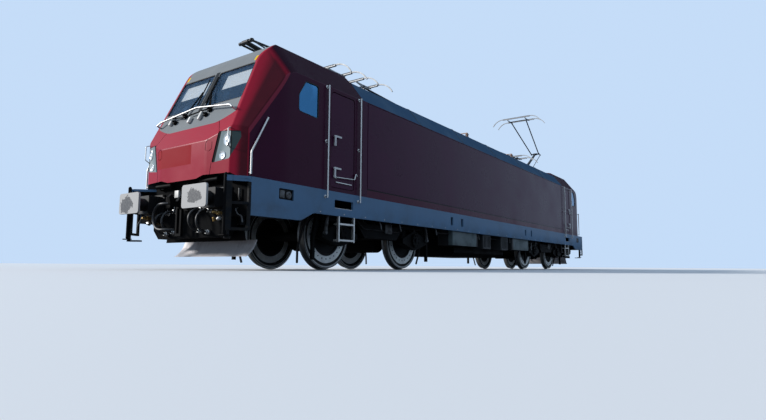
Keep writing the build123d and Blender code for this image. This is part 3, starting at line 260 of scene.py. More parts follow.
def skin(rings, closed=False):
    """Points and faces of a skin over a stack of rings. Face (i, j) joins places j and j + 1 of rings i
    and i + 1. A closed skin joins its last ring to its first, any other has a flat face at each end."""
    rows, places = rings.shape[:2]
    row = np.arange(rows if closed else rows - 1)[:, None]
    place = np.arange(places)[None, :]
    ahead_row = (row + 1) % rows
    ahead_place = (place + 1) % places
    quads = np.stack([row * places + place, row * places + ahead_place, ahead_row * places + ahead_place,
                      ahead_row * places + place], -1)
    faces = quads.reshape(-1, 4).tolist()
    if not closed:
        faces += [np.arange(places)[::-1].tolist(), (np.arange(places) + (rows - 1) * places).tolist()]
    return rings.reshape(-1, 3), faces


def turned(profile, place, axis, sides=20):
    """A turned form. Each (along, radius) of the profile is a ring, place + along * axis + radius *
    (cos a * first + sin a * second), where first and second stand square to the axis."""
    axis = np.asarray(axis, float) / np.linalg.norm(axis)
    first = np.cross(axis, np.roll(axis, 1))
    first /= np.linalg.norm(first)
    second = np.cross(axis, first)
    angle = np.linspace(0, 2 * np.pi, sides, endpoint=False)[None, :, None]
    along, radius = np.asarray(profile, float).T[:, :, None, None]
    return skin(np.asarray(place) + along * axis + radius * (np.cos(angle) * first + np.sin(angle) * second))


def joined(*shapes):
    """Several forms as one."""
    starts = np.cumsum([0] + [len(points) for points, faces in shapes[:-1]]).tolist()
    moved = [[corner + start for corner in face]
             for start, (points, faces) in zip(starts, shapes) for face in faces]
    return np.concatenate([points for points, faces in shapes]), moved


def repeated(shape, places):
    """The same form again at each of the places."""
    points, faces = shape
    moved = (np.asarray(places, float)[:, None] + points).reshape(-1, 3)
    starts = range(0, len(moved), len(points))
    return moved, [[corner + start for corner in face] for start in starts for face in faces]


def mirrored(shape, *axes):
    """The form with its mirror image across the middle plane of each axis, faces turned back outwards."""
    for axis in axes:
        points, faces = shape
        image = points * np.where(np.arange(3) == axis, -1.0, 1.0)
        shape = joined(shape, (image, [face[::-1] for face in faces]))
    return shape


def piece(name, shape, finish, body="root"):
    """One object of the scene, made of points and faces, that rides on a body of the frame."""
    points, faces = shape
    mesh = bpy.data.meshes.new(name)
    mesh.from_pydata(points.tolist(), [], faces)
    mesh.polygons.foreach_set("use_smooth", [True] * len(faces))
    mesh.set_sharp_from_angle(angle=np.radians(35))
    mesh.materials.append(finish)
    made = bpy.data.objects.new(name, mesh)
    bpy.context.collection.objects.link(made)
    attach(made, body)
    return made


def dress(node, material):
    """Gives a CAD node its finish."""
    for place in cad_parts[node].material_slots:
        place.material = material


def bolt(radius, height, axis, sides=6):
    """A bolt head at the origin: a prism of that many sides with a narrowed rim."""
    return turned([(0, radius), (0.7 * height, radius), (height, 0.8 * radius)], origin, axis, sides)


def black_finish(name, black):
    """Half-matt paint under dust: noise drawn thicker towards the ground and on what faces up."""
    finish = Finish(name, specular=0.04)
    x, y, z = finish.position()
    low = 1 - z.rise(0.1, dusty_below)
    top = finish.facing()[2].rise(0.4, 0.9)
    patches = finish.noise(3.5, 5.0, roughness=0.65).rise(0.42, 0.72)
    cover = (patches * 0.4 + low * 0.22 + top * 0.25).least(0.8)
    streaks = finish.noise(30.0, 3.0, stretch=(1, 1, 0.15)).rise(0.55, 0.8)
    colour = finish.blend(black, brake_dust, cover * 0.7 + streaks * 0.08)
    return finish.set(Base_Color=colour, Roughness=0.5 + cover * 0.4,
                      Normal=finish.bump(finish.noise(45.0, 4.0), 0.0015, 0.5))


def bolt_circle(count, start=0.0):
    """That many places round a circle of radius 1 in the X-Z plane, (cos a, 0, sin a)."""
    angle = start + np.linspace(0, 2 * np.pi, count, endpoint=False)
    return np.stack([np.cos(angle), 0 * angle, np.sin(angle)], -1)


paint_black = (0.004, 0.0043, 0.005)
brake_dust = (0.022, 0.017, 0.014)
dusty_below = 0.75
sunk = 0.001
bogie_black = black_finish("bogie_black", paint_black)
for end, centre in bogie_centres.items():
    for number, step in ((1, half_wheelbase), (2, -half_wheelbase)):
        wheelset = f"wheelset_{end}_{number}"
        finish = Finish(f"wheel_steel_{end}_{number}", specular=0.3)
        x, y, z = finish.position()
        radius = ((x - (centre + step)) ** 2 + (z - axle_height) ** 2) ** 0.5
        tread = radius.rise(wheel_radius - 0.012, wheel_radius - 0.006)
        web = abs(finish.facing()[1]).rise(0.9, 0.95) * abs(y).rise(wheel_back, wheel_back + 0.01)
        rim_ring = radius.band(rim_ring_inner, rim_ring_outer, 0.003) * web
        disc = radius.band(disc_inner, disc_outer, 0.002) * web
        turning_marks = radius.math("SINE", radius * turning_rate)
        grime = finish.noise(5.0, 5.0).rise(0.35, 0.7)
        colour = finish.blend(steel_dull, steel_dust, grime)
        colour = finish.blend(colour, hub_black, 1 - radius.rise(hub_edge - 0.01, hub_edge))
        colour = finish.blend(colour, disc_grey, (disc + rim_ring * 0.7) * (1 - grime * 0.25))
        colour = finish.blend(colour, steel_bright, tread)
        bare = (disc * 0.6 + tread).least(1.0)
        dress(wheelset, finish.set(
            Base_Color=colour, Metallic=bare * 0.8, Roughness=0.75 - bare * 0.35,
            Normal=finish.bump(turning_marks * disc + finish.noise(60.0), 0.002, 0.4)))
        hub = (centre + step, wheel_face - sunk, axle_height)
        heads = repeated(bolt(0.014, 0.006, y_axis), disc_bolt_ring * bolt_circle(disc_bolts) + hub)
        piece(f"disc_bolts_{end}_{number}", mirrored(heads, 1), bogie_black, wheelset)


# Bogies
# Welded frames, axle boxes and springs in black paint, browned by brake dust from below. Coil springs
# carry the body, and dampers, sand pipes and a brake pipe are hung on the outside of each frame.
beam_y = 1.06
cap_face = 1.198
cap_bolts = 8
cap_bolt_ring = 0.115
cap_cover = [(0, 0.06), (0.012, 0.058), (0.014, 0.045)]
spring_steps = (-0.255, 0.0, 0.255)
spring_foot = 0.88 + rail_top
spring_head = 1.17 + rail_top
spring_radius = 0.082
spring_wire = 0.019
spring_plate = [(0, 0.104), (0.014, 0.104), (0.018, 0.098)]
damper_y = 1.195
pipe_y = 1.168
pipe_high = 0.985
pipe_low = 0.80
# From the bogie's centre: X and Z of the brake pipe, places of a sand pipe. From an axle: a cable's.
brake_pipe = [(-1.62, pipe_high), (-0.86, pipe_high), (-0.62, pipe_low), (0.62, pipe_low), (0.86, pipe_high),
              (1.62, pipe_high)]
sand_pipe = [(1.80, 1.02, 1.02), (2.0, 0.92, 0.84), (2.05, 0.80, 0.40), (2.0, 0.75, 0.13)]
earth_cable = [(0.03, cap_face + 0.02, axle_height), (0.05, 1.235, 0.74), (0.11, 1.205, 0.86),
               (0.10, pipe_y, 0.98)]


def bar(path, radius, across=z_axis, sides=10, closed=False):
    """A round bar along a path. With d the path's direction, s = d x across and o = d x s, each ring is
    the path's point + radius * (cos a * s + sin a * o)."""
    path = np.asarray(path, float)
    if closed:
        direction = np.roll(path, -1, 0) - np.roll(path, 1, 0)
    else:
        direction = np.gradient(path, axis=0)
    side = np.cross(direction, across)
    side /= np.linalg.norm(side, axis=1, keepdims=True)
    over = np.cross(direction, side)
    over /= np.linalg.norm(over, axis=1, keepdims=True)
    angle = np.linspace(0, 2 * np.pi, sides, endpoint=False)[None, :, None]
    ring = np.cos(angle) * side[:, None] + np.sin(angle) * over[:, None]
    return skin(path[:, None] + radius * ring, closed)


def bent(points, rounding, steps=6):
    """A path along straight runs whose corners are rounded. Near a corner p it is the parabola
    (1 - t)^2 * before + 2 t (1 - t) * p + t^2 * after, between the places one rounding away from p."""
    points = np.asarray(points, float)
    corner = points[1:-1]
    back = points[:-2] - corner
    onward = points[2:] - corner
    before = (corner + back * (rounding / np.linalg.norm(back, axis=1, keepdims=True)))[:, None]
    after = (corner + onward * (rounding / np.linalg.norm(onward, axis=1, keepdims=True)))[:, None]
    t = np.linspace(0, 1, steps)[None, :, None]
    curve = (1 - t) ** 2 * before + 2 * t * (1 - t) * corner[:, None] + t ** 2 * after
    return np.concatenate([points[:1], curve.reshape(-1, 3), points[-1:]])


def rounded(width, height, corner, steps=4):
    """A rounded rectangle's outline: from each corner's centre, a quarter of a circle of that radius."""
    turn = np.arange(4)[:, None] * np.pi / 2 + np.linspace(0, np.pi / 2, steps)
    quarters = np.array([(1, 1), (-1, 1), (-1, -1), (1, -1)])[:, None]
    centres = quarters * (width / 2 - corner, height / 2 - corner)
    return (centres + corner * np.stack([np.cos(turn), np.sin(turn)], -1)).reshape(-1, 2)


def slab(outline, depth, place, across, upward, rim=0.003):
    """A plate of that outline with rounded rims. Its rings are the outline drawn in by rim * (1 - sin a)
    at rim * (1 - cos a) from either face, on the plane of across and upward."""
    across = np.asarray(across, float)
    upward = np.asarray(upward, float)
    off = np.cross(across, upward)
    onward = np.roll(outline, -1, 0) - np.roll(outline, 1, 0)
    out = np.stack([onward[:, 1], -onward[:, 0]], -1) / np.linalg.norm(onward, axis=1, keepdims=True)
    angle = np.linspace(0, np.pi / 2, 3)
    inset = rim * (1 - np.sin(angle))
    height = rim * (1 - np.cos(angle))
    inset = np.concatenate([inset, inset[::-1]])[:, None, None]
    height = np.concatenate([height, depth - height[::-1]])[:, None, None]
    flat = outline - inset * out
    return skin(np.asarray(place) + flat[..., :1] * across + flat[..., 1:] * upward + height * off)


def coil(place, height, radius, wire, turns):
    """A coil spring: a bar along place + (radius * cos a, radius * sin a, wire + rise * a / (2 pi turns)),
    where the rise is height - 2 * wire."""
    angle = np.linspace(0, 2 * np.pi * turns, 20 * turns + 1)
    line = np.stack([radius * np.cos(angle), radius * np.sin(angle),
                     wire + (height - 2 * wire) * angle / angle[-1]], -1)
    return bar(np.asarray(place) + line, wire, sides=8)


def damper(foot, head, thickness):
    """A hydraulic damper between two eyes: a turned body, a thinner sleeve and an eye at each end."""
    foot = np.asarray(foot, float)
    axis = np.asarray(head, float) - foot
    length = np.linalg.norm(axis)
    body = turned([(0.10 * length, 0.6 * thickness), (0.12 * length, thickness), (0.52 * length, thickness),
                   (0.54 * length, 0.8 * thickness), (0.9 * length, 0.8 * thickness)], foot, axis)
    rod = turned([(0, 0.3 * thickness), (length, 0.3 * thickness)], foot, axis, 12)
    eye = turned([(-0.035, 0.8 * thickness), (-0.03, thickness), (0.03, thickness), (0.035, 0.8 * thickness)],
                 origin, y_axis)
    return joined(body, rod, repeated(eye, [foot, head]))


def worn_finish(name, fresh, worn, cells, detail, roughness, ramp=None, stretch=(1, 1, 1), grain=0.0,
                **constants):
    """A colour that wears. With share the noise, or its rise over the ramp, the colour goes from fresh to
    worn and the roughness from its first value to its second. The grain stands that many metres high."""
    finish = Finish(name, **constants)
    share = finish.noise(cells, detail, stretch)
    if ramp:
        share = share.rise(*ramp)
    if grain:
        finish.set(Normal=finish.bump(share, grain, 0.6))
    smooth, rough = roughness
    colour = finish.blend(fresh, worn, share)
    return finish.set(Base_Color=colour, Roughness=smooth + share * (rough - smooth))


case_grey = black_finish("motor_case_grey", (0.008, 0.008, 0.009))
damper_grey = worn_finish("damper_grey", (0.11, 0.115, 0.12), (0.05, 0.042, 0.036), 9.0, 5.0,
                          (0.45, 0.80), ramp=(0.4, 0.7), specular=0.4)
pipe_rubber = worn_finish("sand_pipe_rubber", (0.010, 0.010, 0.011), (0.035, 0.030, 0.026), 14.0, 4.0,
                          (0.6, 0.9), ramp=(0.4, 0.7), specular=0.3)
cap_ring = cap_bolt_ring * bolt_circle(cap_bolts, np.pi / cap_bolts)
for end, centre in bogie_centres.items():
    body = f"bogie_{end}"
    for node in (f"bogie_frame_{end}", f"axle_boxes_{end}"):
        dress(node, bogie_black)
    dress(f"motors_{end}", case_grey)
    springs = [coil((centre + step, beam_y, spring_foot), spring_head - spring_foot, spring_radius,
                    spring_wire, 5) for step in spring_steps]
    plates = [turned(spring_plate, (centre + step, beam_y, z), z_axis)
              for step in spring_steps for z in (spring_foot, spring_head - 0.02)]
    spring_set = mirrored(joined(*springs, *plates), 1)
    coils = piece(f"coil_springs_{end}", spring_set, bogie_black, body)
    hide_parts(f"main_springs_{end}")
    fixings = []
    struts = []
    pipes = [bar(bent([(centre + x, pipe_y, z) for x, z in brake_pipe], 0.08), 0.012)]
    for facing in (1, -1):
        axle = centre + facing * half_wheelbase
        cap = (axle, cap_face, axle_height)
        foot = (axle + facing * 0.46, damper_y, 0.67)
        head = (axle + facing * 0.40, damper_y, 1.0)
        fixings.append(repeated(bolt(0.016, 0.012, y_axis), cap_ring + cap))
        fixings.append(turned(cap_cover, cap, y_axis))
        struts.append(damper(foot, head, 0.034))
        pipes.append(bar(bent([(axle + x, y, z) for x, y, z in earth_cable], 0.05), 0.009, x_axis))
        pipes.append(bar(bent([(centre + facing * x, y, z) for x, y, z in sand_pipe], 0.1), 0.021, y_axis))
    cable_plate = slab(rounded(0.24, 0.20, 0.02), 0.018, (centre - 0.23, 1.165, 0.85), (-1, 0, 0), z_axis)
    piece(f"box_bolts_{end}", mirrored(joined(*fixings), 1), bogie_black, body)
    piece(f"dampers_{end}", mirrored(joined(*struts, cable_plate), 1), damper_grey, body)
    piece(f"pipes_{end}", mirrored(joined(*pipes), 1), pipe_rubber, body)
dress("transformer", case_grey)
dress("draw_gear", bogie_black)
dress("wipers", bogie_black)


# Underframe
# Skirts, headstocks and floor are one welded frame in blue-grey paint, dusty along its foot and black
# towards the track. It carries bolt heads, bright foot-hole strips and a socket pocket at each corner.
half_width = 1.4885
skirt_foot = 0.93
pocket_x = (8.071, 8.379)
pocket_z = (1.099, 1.267)
pocket_back = 1.459
step_bar_z = 1.284
frame_blue = (0.125, 0.235, 0.385)
finish = Finish("underframe_blue", specular=0.10)
x, y, z = finish.position()
outside = abs(y).rise(1.40, 1.44)
lower_edge = 1 - z.rise(skirt_foot, 1.25)
patches = finish.noise(2.2, 6.0, roughness=0.6)
runs = finish.noise(14.0, 3.0, stretch=(1, 1, 0.08)).rise(0.5, 0.85)
colour = finish.blend(frame_blue, (0.11, 0.18, 0.26), patches.rise(0.4, 0.8) * 0.5 + runs * 0.15)
colour = finish.blend(colour, (0.11, 0.12, 0.13), lower_edge * patches.rise(0.35, 0.75) * 0.4)
colour = finish.blend(paint_black, colour, outside)
recessed = 1 - abs(y).rise(half_width - 0.0045, half_width - 0.0025)
# The faces inside each socket pocket are painted black as shade in the recess.
pocket_shade = abs(x).band(*pocket_x, 0.002) * z.band(*pocket_z, 0.002) * recessed
colour = finish.blend(colour, paint_black, pocket_shade)
gloss = outside * (0.55 - lower_edge * 0.25 - runs * 0.1)
dress("underframe", finish.set(Base_Color=colour, Roughness=0.97 - gloss,
                               Normal=finish.bump(patches, 0.004, 0.15)))

finish = Finish("corner_step_paint", specular=0.10)
x, y, z = finish.position()
dust = finish.noise(9.0, 5.0).rise(0.4, 0.7)
top_bar = z.rise(step_bar_z, step_bar_z + 0.004) * finish.facing()[2].rise(-0.6, -0.4)
colour = finish.blend((0.008, 0.010, 0.013), (0.024, 0.022, 0.020), dust)
colour = finish.blend(colour, frame_blue, top_bar)
dress("corner_steps", finish.set(Base_Color=colour, Roughness=0.55 + dust * 0.2))

finish = Finish("box_grey", specular=0.3)
x, y, z = finish.position()
patches = finish.noise(4.0, 6.0, roughness=0.6).rise(0.4, 0.75)
outer_boxes = abs(x).rise(1.30, 1.31) * abs(y).rise(1.3, 1.31)
colour = finish.blend((0.022, 0.024, 0.026), (0.12, 0.16, 0.17), outer_boxes)
colour = finish.blend(colour, (0.018, 0.015, 0.013), patches * 0.3 + (1 - z.rise(0.6, 0.75)) * 0.2)
dress("underfloor_boxes", finish.set(Base_Color=colour, Roughness=0.55 + patches * 0.25,
                                     Normal=finish.bump(patches, 0.002, 0.2)))

stainless = worn_finish("stainless_steel", (0.46, 0.46, 0.45), (0.60, 0.59, 0.57), 18.0, 4.0,
                        (0.38, 0.54), Metallic=1.0)
for node in ("handrails", "rail_brackets", "corner_rails", "screen_rails", "door_ladders"):
    dress(node, stainless)

skirt_bolts = [(x, half_width - sunk, 0.985) for x in np.arange(-7.44, 7.5, 0.62)]
edge_strip = slab(rounded(0.47, 0.04, 0.006), 0.008, (6.825, 1.462, 1.0785), x_axis, y_axis, 0.002)
socket_ring = turned([(0, 0.058), (0.012, 0.058), (0.018, 0.048), (0.018, 0.034), (0.008, 0.030)],
                     (8.16, pocket_back, 1.178), y_axis)
socket_lid = slab(rounded(0.10, 0.12, 0.015), 0.016, (8.30, pocket_back, 1.183), (-1, 0, 0), z_axis)
piece("skirt_bolts", mirrored(repeated(bolt(0.011, 0.007, y_axis), skirt_bolts), 1), stainless)
piece("foot_hole_strips", mirrored(edge_strip, 0, 1), stainless)
piece("corner_sockets", mirrored(joined(socket_ring, socket_lid), 0, 1), damper_grey)

drain_x = (-1.1, -1.75, -2.2, -2.6, -3.4, -4.9, -5.6)
drain_pipes = [bar(bent([(x, 1.36, 1.0), (x, 1.40, 0.93), (x + 0.03, 1.41, 0.80)], 0.05), 0.013, x_axis)
               for x in drain_x]
long_pipe = bar(bent([(-3.2, 1.30, 1.15), (-3.2, 1.30, 0.87), (3.2, 1.30, 0.87), (3.2, 1.30, 1.15)], 0.09),
                0.016, y_axis)
piece("drain_pipes", mirrored(joined(*drain_pipes), 0, 1), damper_grey)
piece("long_pipes", mirrored(long_pipe, 1), pipe_rubber)


# Cabs, side walls and doors
# Steel panels in deep crimson gloss. The cab's nose, where it faces forward, is painted a lit crimson, and
# the sides a shaded crimson, dark with a painted purple sky reflection; painted shade and a painted crease
# highlight mark the corners. Round the windscreens and on the brow the cab is light grey.
lit_nose_crimson = (0.33, 0.012, 0.034)
shaded_side_crimson = (0.050, 0.006, 0.028)
shaded_wall_purple = (0.058, 0.010, 0.039)
surround_grey = (0.200, 0.220, 0.235)
corner_facing = (0.7603, 0.5241, 0.3838)
corner_reach = 8.2658
screen_facing = (0.9138, 0.4063)
screen_reach = 9.1157
knee_x = 9.09
knee_z = 1.964 + rail_top
wall_end = 6.155
groove_foot = 1.508
groove_head = 1.528
nose_start = 7.2
brow_foot = 3.50
brow_half_width = 1.03
# Metres up the screen slope: the middle post, the yellow marks. Y of the marks. Y and Z of newer paint.
post_up = (0.70, 1.53)
mark_up = (1.555, 1.665)
mark_y = (0.895, 0.985)
newer_y = (-0.72, 0.23)
newer_z = (1.66, 1.97)


def crimson_finish(name, cab):
    """Crimson gloss, dark and purplish as painted shade and sky reflection. On a cab the faces turned forward
    on the nose take a lit crimson as painted light, and the screen surround is grey, down to a line that
    climbs by (|y| - 0.6)^1.42 / 2 towards the sides."""
    finish = Finish(name, specular=0.08)
    x, y, z = finish.position()
    face_x, face_y, face_z = finish.facing()
    dull = finish.noise(1.2, 6.0, roughness=0.62).rise(0.35, 0.8)
    # The sides' crimson is a shaded copy of the nose's: painted shade, with a painted purple sky reflection.
    paint = shaded_side_crimson if cab else shaded_wall_purple
    colour = finish.blend(paint, tuple(1.4 * c for c in paint), dull * 0.5)
    # Faces turned upwards are darkened: painted shade on the roof shoulders and other upward faces.
    colour = finish.blend(colour, (0.014, 0.004, 0.010), face_z.rise(0.2, 0.45) * 0.7)
    low_dust = (1 - z.rise(1.35, 1.75)) * dull
    colour = finish.blend(colour, (0.05, 0.03, 0.035), low_dust * 0.3)
    roughness = 0.27 + dull * 0.10 + low_dust * 0.15 + face_z.rise(0.3, 0.55) * 0.45
    handles = abs(y).rise(half_width + 0.002, half_width + 0.004)
    colour = finish.blend(colour, (0.80, 0.80, 0.80), handles)
    if cab:
        outwards = abs(x) * screen_facing[0] + z * screen_facing[1]
        inwards = abs(x) * corner_facing[0] + abs(y) * corner_facing[1] + z * corner_facing[2]
        nose_lit_and_shaded = finish.blend(lit_nose_crimson, tuple(1.15 * c for c in lit_nose_crimson), dull * 0.6)
        # The corner pillar and the cheeks beside the lamps take a deep crimson as painted shade.
        shaded_crimson = finish.blend((0.060, 0.005, 0.012), (0.09, 0.006, 0.016), dull)
        pillar_shade = inwards.rise(corner_reach - 0.012, corner_reach - 0.004) * (1 - outwards.rise(8.94, 9.10))
        cheek_shade = abs(face_y).band(0.45, 0.6, 0.1) * abs(y).rise(1.14, 1.25)
        nose_lit_and_shaded = finish.blend(nose_lit_and_shaded, shaded_crimson, pillar_shade.most(cheek_shade))
        # The forward faces of the nose take the lit crimson, as painted light.
        nose = abs(face_x).rise(0.35, 0.6) * abs(x).rise(nose_start, nose_start + 0.1)
        colour = finish.blend(colour, nose_lit_and_shaded, nose)
        # A painted highlight along the crease between the corner pillar and the side.
        crease_highlight = inwards.band(corner_reach - 0.036, corner_reach - 0.010, 0.010)
        crease_highlight = crease_highlight * abs(face_y).rise(0.7, 0.8) * z.band(1.6, 3.1, 0.2)
        colour = finish.blend(colour, (0.34, 0.04, 0.075), crease_highlight * 0.8)
        # Faces turned down under the nose are painted black as shade.
        under_nose_shade = (1 - face_z.rise(-0.6, -0.4)) * (1 - z.rise(1.5, 1.55))
        colour = finish.blend(colour, paint_black, under_nose_shade)
        up_slope = (knee_x - abs(x)) * screen_facing[1] + (z - knee_z) * screen_facing[0]
        lower_line = (abs(y) - 0.6).most(0.0) ** 1.42 * 0.5 + 0.33
        slope = outwards.rise(screen_reach - 0.034, screen_reach - 0.030)
        slope = slope * (up_slope - lower_line).rise(0.0, 0.006)
        brow = z.rise(brow_foot, brow_foot + 0.01) * abs(x).rise(nose_start, nose_start + 0.01)
        brow = brow * (1 - abs(y).rise(brow_half_width, brow_half_width + 0.01))
        grey = slope.most(brow) * (1 - inwards.rise(corner_reach - 0.034, corner_reach - 0.030))
        colour = finish.blend(colour, finish.blend(surround_grey, (0.24, 0.26, 0.27), dull), grey)
        post = (1 - abs(y).rise(0.050, 0.054)) * up_slope.band(*post_up, 0.01)
        colour = finish.blend(colour, (0.022, 0.026, 0.030), post * grey)
        yellow = abs(y).band(*mark_y, 0.003) * up_slope.band(*mark_up, 0.003) * grey
        colour = finish.blend(colour, (0.75, 0.50, 0.02), yellow)
        newer = x.rise(8.9, 8.91) * y.band(*newer_y, 0.004) * z.band(*newer_z, 0.004)
        colour = finish.blend(colour, (0.30, 0.006, 0.014), newer)
        roughness = roughness + grey * 0.25 + newer * 0.35 + under_nose_shade * 0.3
    else:
        wall = 1 - abs(x).rise(wall_end, wall_end + 0.005)
        low_strip = 1 - z.rise(groove_foot - 0.002, groove_foot + 0.002)
        colour = finish.blend(colour, (0.080, 0.011, 0.036), low_strip * wall)
        # The groove under the side panel is painted near black as shade.
        groove_shade = z.band(groove_foot, groove_head, 0.002)
        colour = finish.blend(colour, paint_black, groove_shade * wall * 0.85)
    return finish.set(Base_Color=colour, Roughness=roughness - handles * 0.1,
                      Normal=finish.bump(finish.noise(0.9, 2.0), 0.006, 0.12))


cab_crimson = crimson_finish("cab_crimson", True)
wall_crimson = crimson_finish("wall_crimson", False)
doors = [f"door_{end}_{side}" for end in ("front", "rear") for side in ("left", "right")]
for node in ("cab_front", "cab_rear"):
    dress(node, cab_crimson)
for node in ("side_walls", *doors):
    dress(node, wall_crimson)

finish = Finish("roof_blue_grey", specular=0.0)
patches = finish.noise(1.6, 6.0, roughness=0.6).rise(0.35, 0.75)
soot = finish.facing()[2].rise(0.75, 0.95)
colour = finish.blend((0.065, 0.130, 0.220), (0.095, 0.165, 0.250), patches)
colour = finish.blend(colour, (0.12, 0.115, 0.105), soot * (0.45 + patches * 0.3))
dress("machine_roof", finish.set(Base_Color=colour, Roughness=0.6 + soot * 0.2,
                                 Normal=finish.bump(patches, 0.003, 0.2)))


# Windows
# Laminated panes, bonded in flush behind a black rubber bead. The windscreens are tinted dark blue, and
# the side windows mirror the sky. Behind the upper half of each windscreen hangs a pale blind.
def glass_finish(name, tint, clearness, mirror):
    """Tinted glass, faintly smeared. clearness is the share that is seen through, and mirror tells how
    far it reflects like polished metal."""
    finish = Finish(name, specular=0.6, Roughness=0.04, Metallic=mirror)
    smear = finish.noise(4.0, 4.0, stretch=(1, 1, 0.5)).rise(0.45, 0.8)
    return finish.set(Base_Color=finish.blend(tint, tuple(1.4 * c + 0.01 for c in tint), smear),
                      Alpha=1 - clearness + smear * 0.06)


dress("windscreens", glass_finish("windscreen_blue", (0.045, 0.130, 0.260), 0.80, 0.0))
dress("side_windows", glass_finish("side_window_blue", (0.036, 0.150, 0.300), 0.12, 0.9))

dress("sun_blinds", worn_finish("blind_cloth", (0.88, 0.93, 0.91), (0.94, 0.97, 0.94), 500.0, 1.0,
                                (0.7, 0.8), stretch=(1, 1, 0.2)))
bead_rubber = worn_finish("bead_rubber", (0.015, 0.015, 0.016), (0.035, 0.034, 0.033), 30.0, 3.0,
                          (0.55, 0.75), specular=0.3)


def on_screen(across, up_slope, off):
    """A place on the front cab's screen slope: metres to the left, up the slope and off its surface."""
    across, up_slope, off = np.broadcast_arrays(across, up_slope, off)
    return np.stack([knee_x - screen_facing[1] * up_slope + screen_facing[0] * off, across,
                     knee_z + screen_facing[0] * up_slope + screen_facing[1] * off], -1)


def closed_bead(corners, rounding, radius, across):
    """A bead along a closed outline with rounded corners."""
    start = (corners[:1] + corners[-1:]) / 2
    return bar(bent(np.concatenate([start, corners, start]), rounding)[:-1], radius, across, 8, True)


bead_depth = 0.007
bead_radius = 0.009
slope_normal = np.array([screen_facing[0], 0.0, screen_facing[1]])
pane_corners = on_screen(np.array([0.070, 1.007, 0.956, 0.070]), np.array([0.766, 0.766, 1.504, 1.504]),
                         -bead_depth)
window_outline = [(7.538, 2.556), (8.002, 2.586), (8.002, 2.862), (7.846, 3.120), (7.538, 3.120)]
window_corners = np.array([(x, half_width - bead_depth, z) for x, z in window_outline])
beads = joined(closed_bead(pane_corners, 0.04, bead_radius, slope_normal),
               closed_bead(window_corners, 0.05, bead_radius, y_axis))
piece("window_beads", mirrored(beads, 1, 0), bead_rubber)


# Headlamps
# Each corner lamp is a moulded unit: a black surround towards the middle, a clear grey lens over two
# round lights, a black rib and a dark glass at the outer side. The lights are polished bowls.
flute_rate = 700.0
rib_y = (1.086, 1.102)
finish = Finish("lamp_unit", specular=0.12)
x, y, z = finish.position()
inner_edge = abs(y) - (z - 1.625) * 0.2557 - 0.7255
rib = abs(y).band(*rib_y, 0.002)
outer_glass = abs(y).rise(rib_y[1], rib_y[1] + 0.002)
surround = 1 - inner_edge.rise(0.045, 0.070)
flutes = y.math("SINE", y * flute_rate)
colour = finish.blend((0.22, 0.28, 0.30), (0.40, 0.46, 0.47), inner_edge.rise(0.09, 0.26))
colour = finish.blend(colour, (0.045, 0.075, 0.078), outer_glass)
colour = finish.blend(colour, (0.012, 0.013, 0.014), surround.most(rib))
dress("headlamps", finish.set(Base_Color=colour, Roughness=0.08 + surround * 0.8,
                              Normal=finish.bump(flutes * (1 - surround), 0.0006, 0.2)))

lamp_bowl = worn_finish("lamp_bowl", (0.92, 0.93, 0.92), (0.80, 0.82, 0.82), 60.0, 2.0, (0.12, 0.24),
                        Metallic=0.6)
lamp_facing = np.array([0.9891, 0.1476, 0.0])
lamp_depth = 0.007
bowl = [(-0.002, 0.060), (0.006, 0.060), (0.008, 0.056), (0.005, 0.050), (0.003, 0.034), (0.003, 0.016),
        (0.006, 0.012), (0.007, 0.004)]
points, faces = turned(bowl, origin, lamp_facing, 28)
lights = [(points * (1, 1, stretch) + centre - lamp_depth * lamp_facing, faces)
          for centre, stretch in (((9.0304, 1.020, 1.955), 1.5), ((9.0414, 0.940, 1.726), 1.05))]
piece("lamp_lights", mirrored(joined(*lights), 0, 1), lamp_bowl)


# Cab fittings
# Moulded desks in grained dark grey plastic and seats in woven dark blue cloth. Outside, below the
# windscreens, the wiper motors with their shafts and the white washer bottles are screwed to the slope.
def with_turned(shape):
    """The form with itself again, turned half a circle about the Z axis."""
    points, faces = shape
    return joined(shape, (points * (-1, -1, 1), faces))


dress("desks", worn_finish("desk_plastic", (0.06, 0.065, 0.07), (0.09, 0.095, 0.10), 220.0, 2.0,
                           (0.55, 0.70), grain=0.0006))
dress("seats", worn_finish("seat_cloth", (0.03, 0.04, 0.06), (0.06, 0.07, 0.10), 380.0, 2.0,
                           (0.85, 0.95), grain=0.001))
bottle_white = worn_finish("bottle_white", (0.80, 0.80, 0.78), (0.62, 0.61, 0.57), 12.0, 4.0, (0.35, 0.55))
slope_up = np.array([-screen_facing[1], 0.0, screen_facing[0]])
motor = [(0.0, 0.040), (0.045, 0.040), (0.050, 0.034), (0.052, 0.014), (0.075, 0.014), (0.078, 0.010)]
motors = [turned(motor, on_screen(across, up, 0.0), slope_normal)
          for across, up in ((-0.57, 0.54), (-0.33, 0.63), (0.33, 0.63), (0.27, 0.55))]
# Each link: across and up the slope from one end to the other, height off the slope, radius
link_ends = (((-0.84, -0.30), (0.66, 0.58), 0.045, 0.011), ((-0.18, 0.44), (0.60, 0.655), 0.045, 0.011),
             ((-0.30, -0.12), (0.64, 1.09), 0.040, 0.008), ((0.30, 0.12), (0.64, 1.09), 0.040, 0.008))
links = [bar(on_screen(np.linspace(*across, 5), np.linspace(*up, 5), off), radius)
         for across, up, off, radius in link_ends]
# Each bottle: its place across and up the slope, and its height
bottle_places = ((-0.695, 0.58, 0.17), (-0.13, 0.505, 0.12), (0.137, 0.55, 0.17), (-0.43, 0.69, 0.07))
bottles = [slab(rounded(0.055, height, 0.02), 0.05, on_screen(across, up, 0.0), y_axis, slope_up, 0.012)
           for across, up, height in bottle_places]
piece("wiper_motors", with_turned(joined(*motors, *links)), bogie_black)
piece("washer_bottles", with_turned(joined(*bottles)), bottle_white)

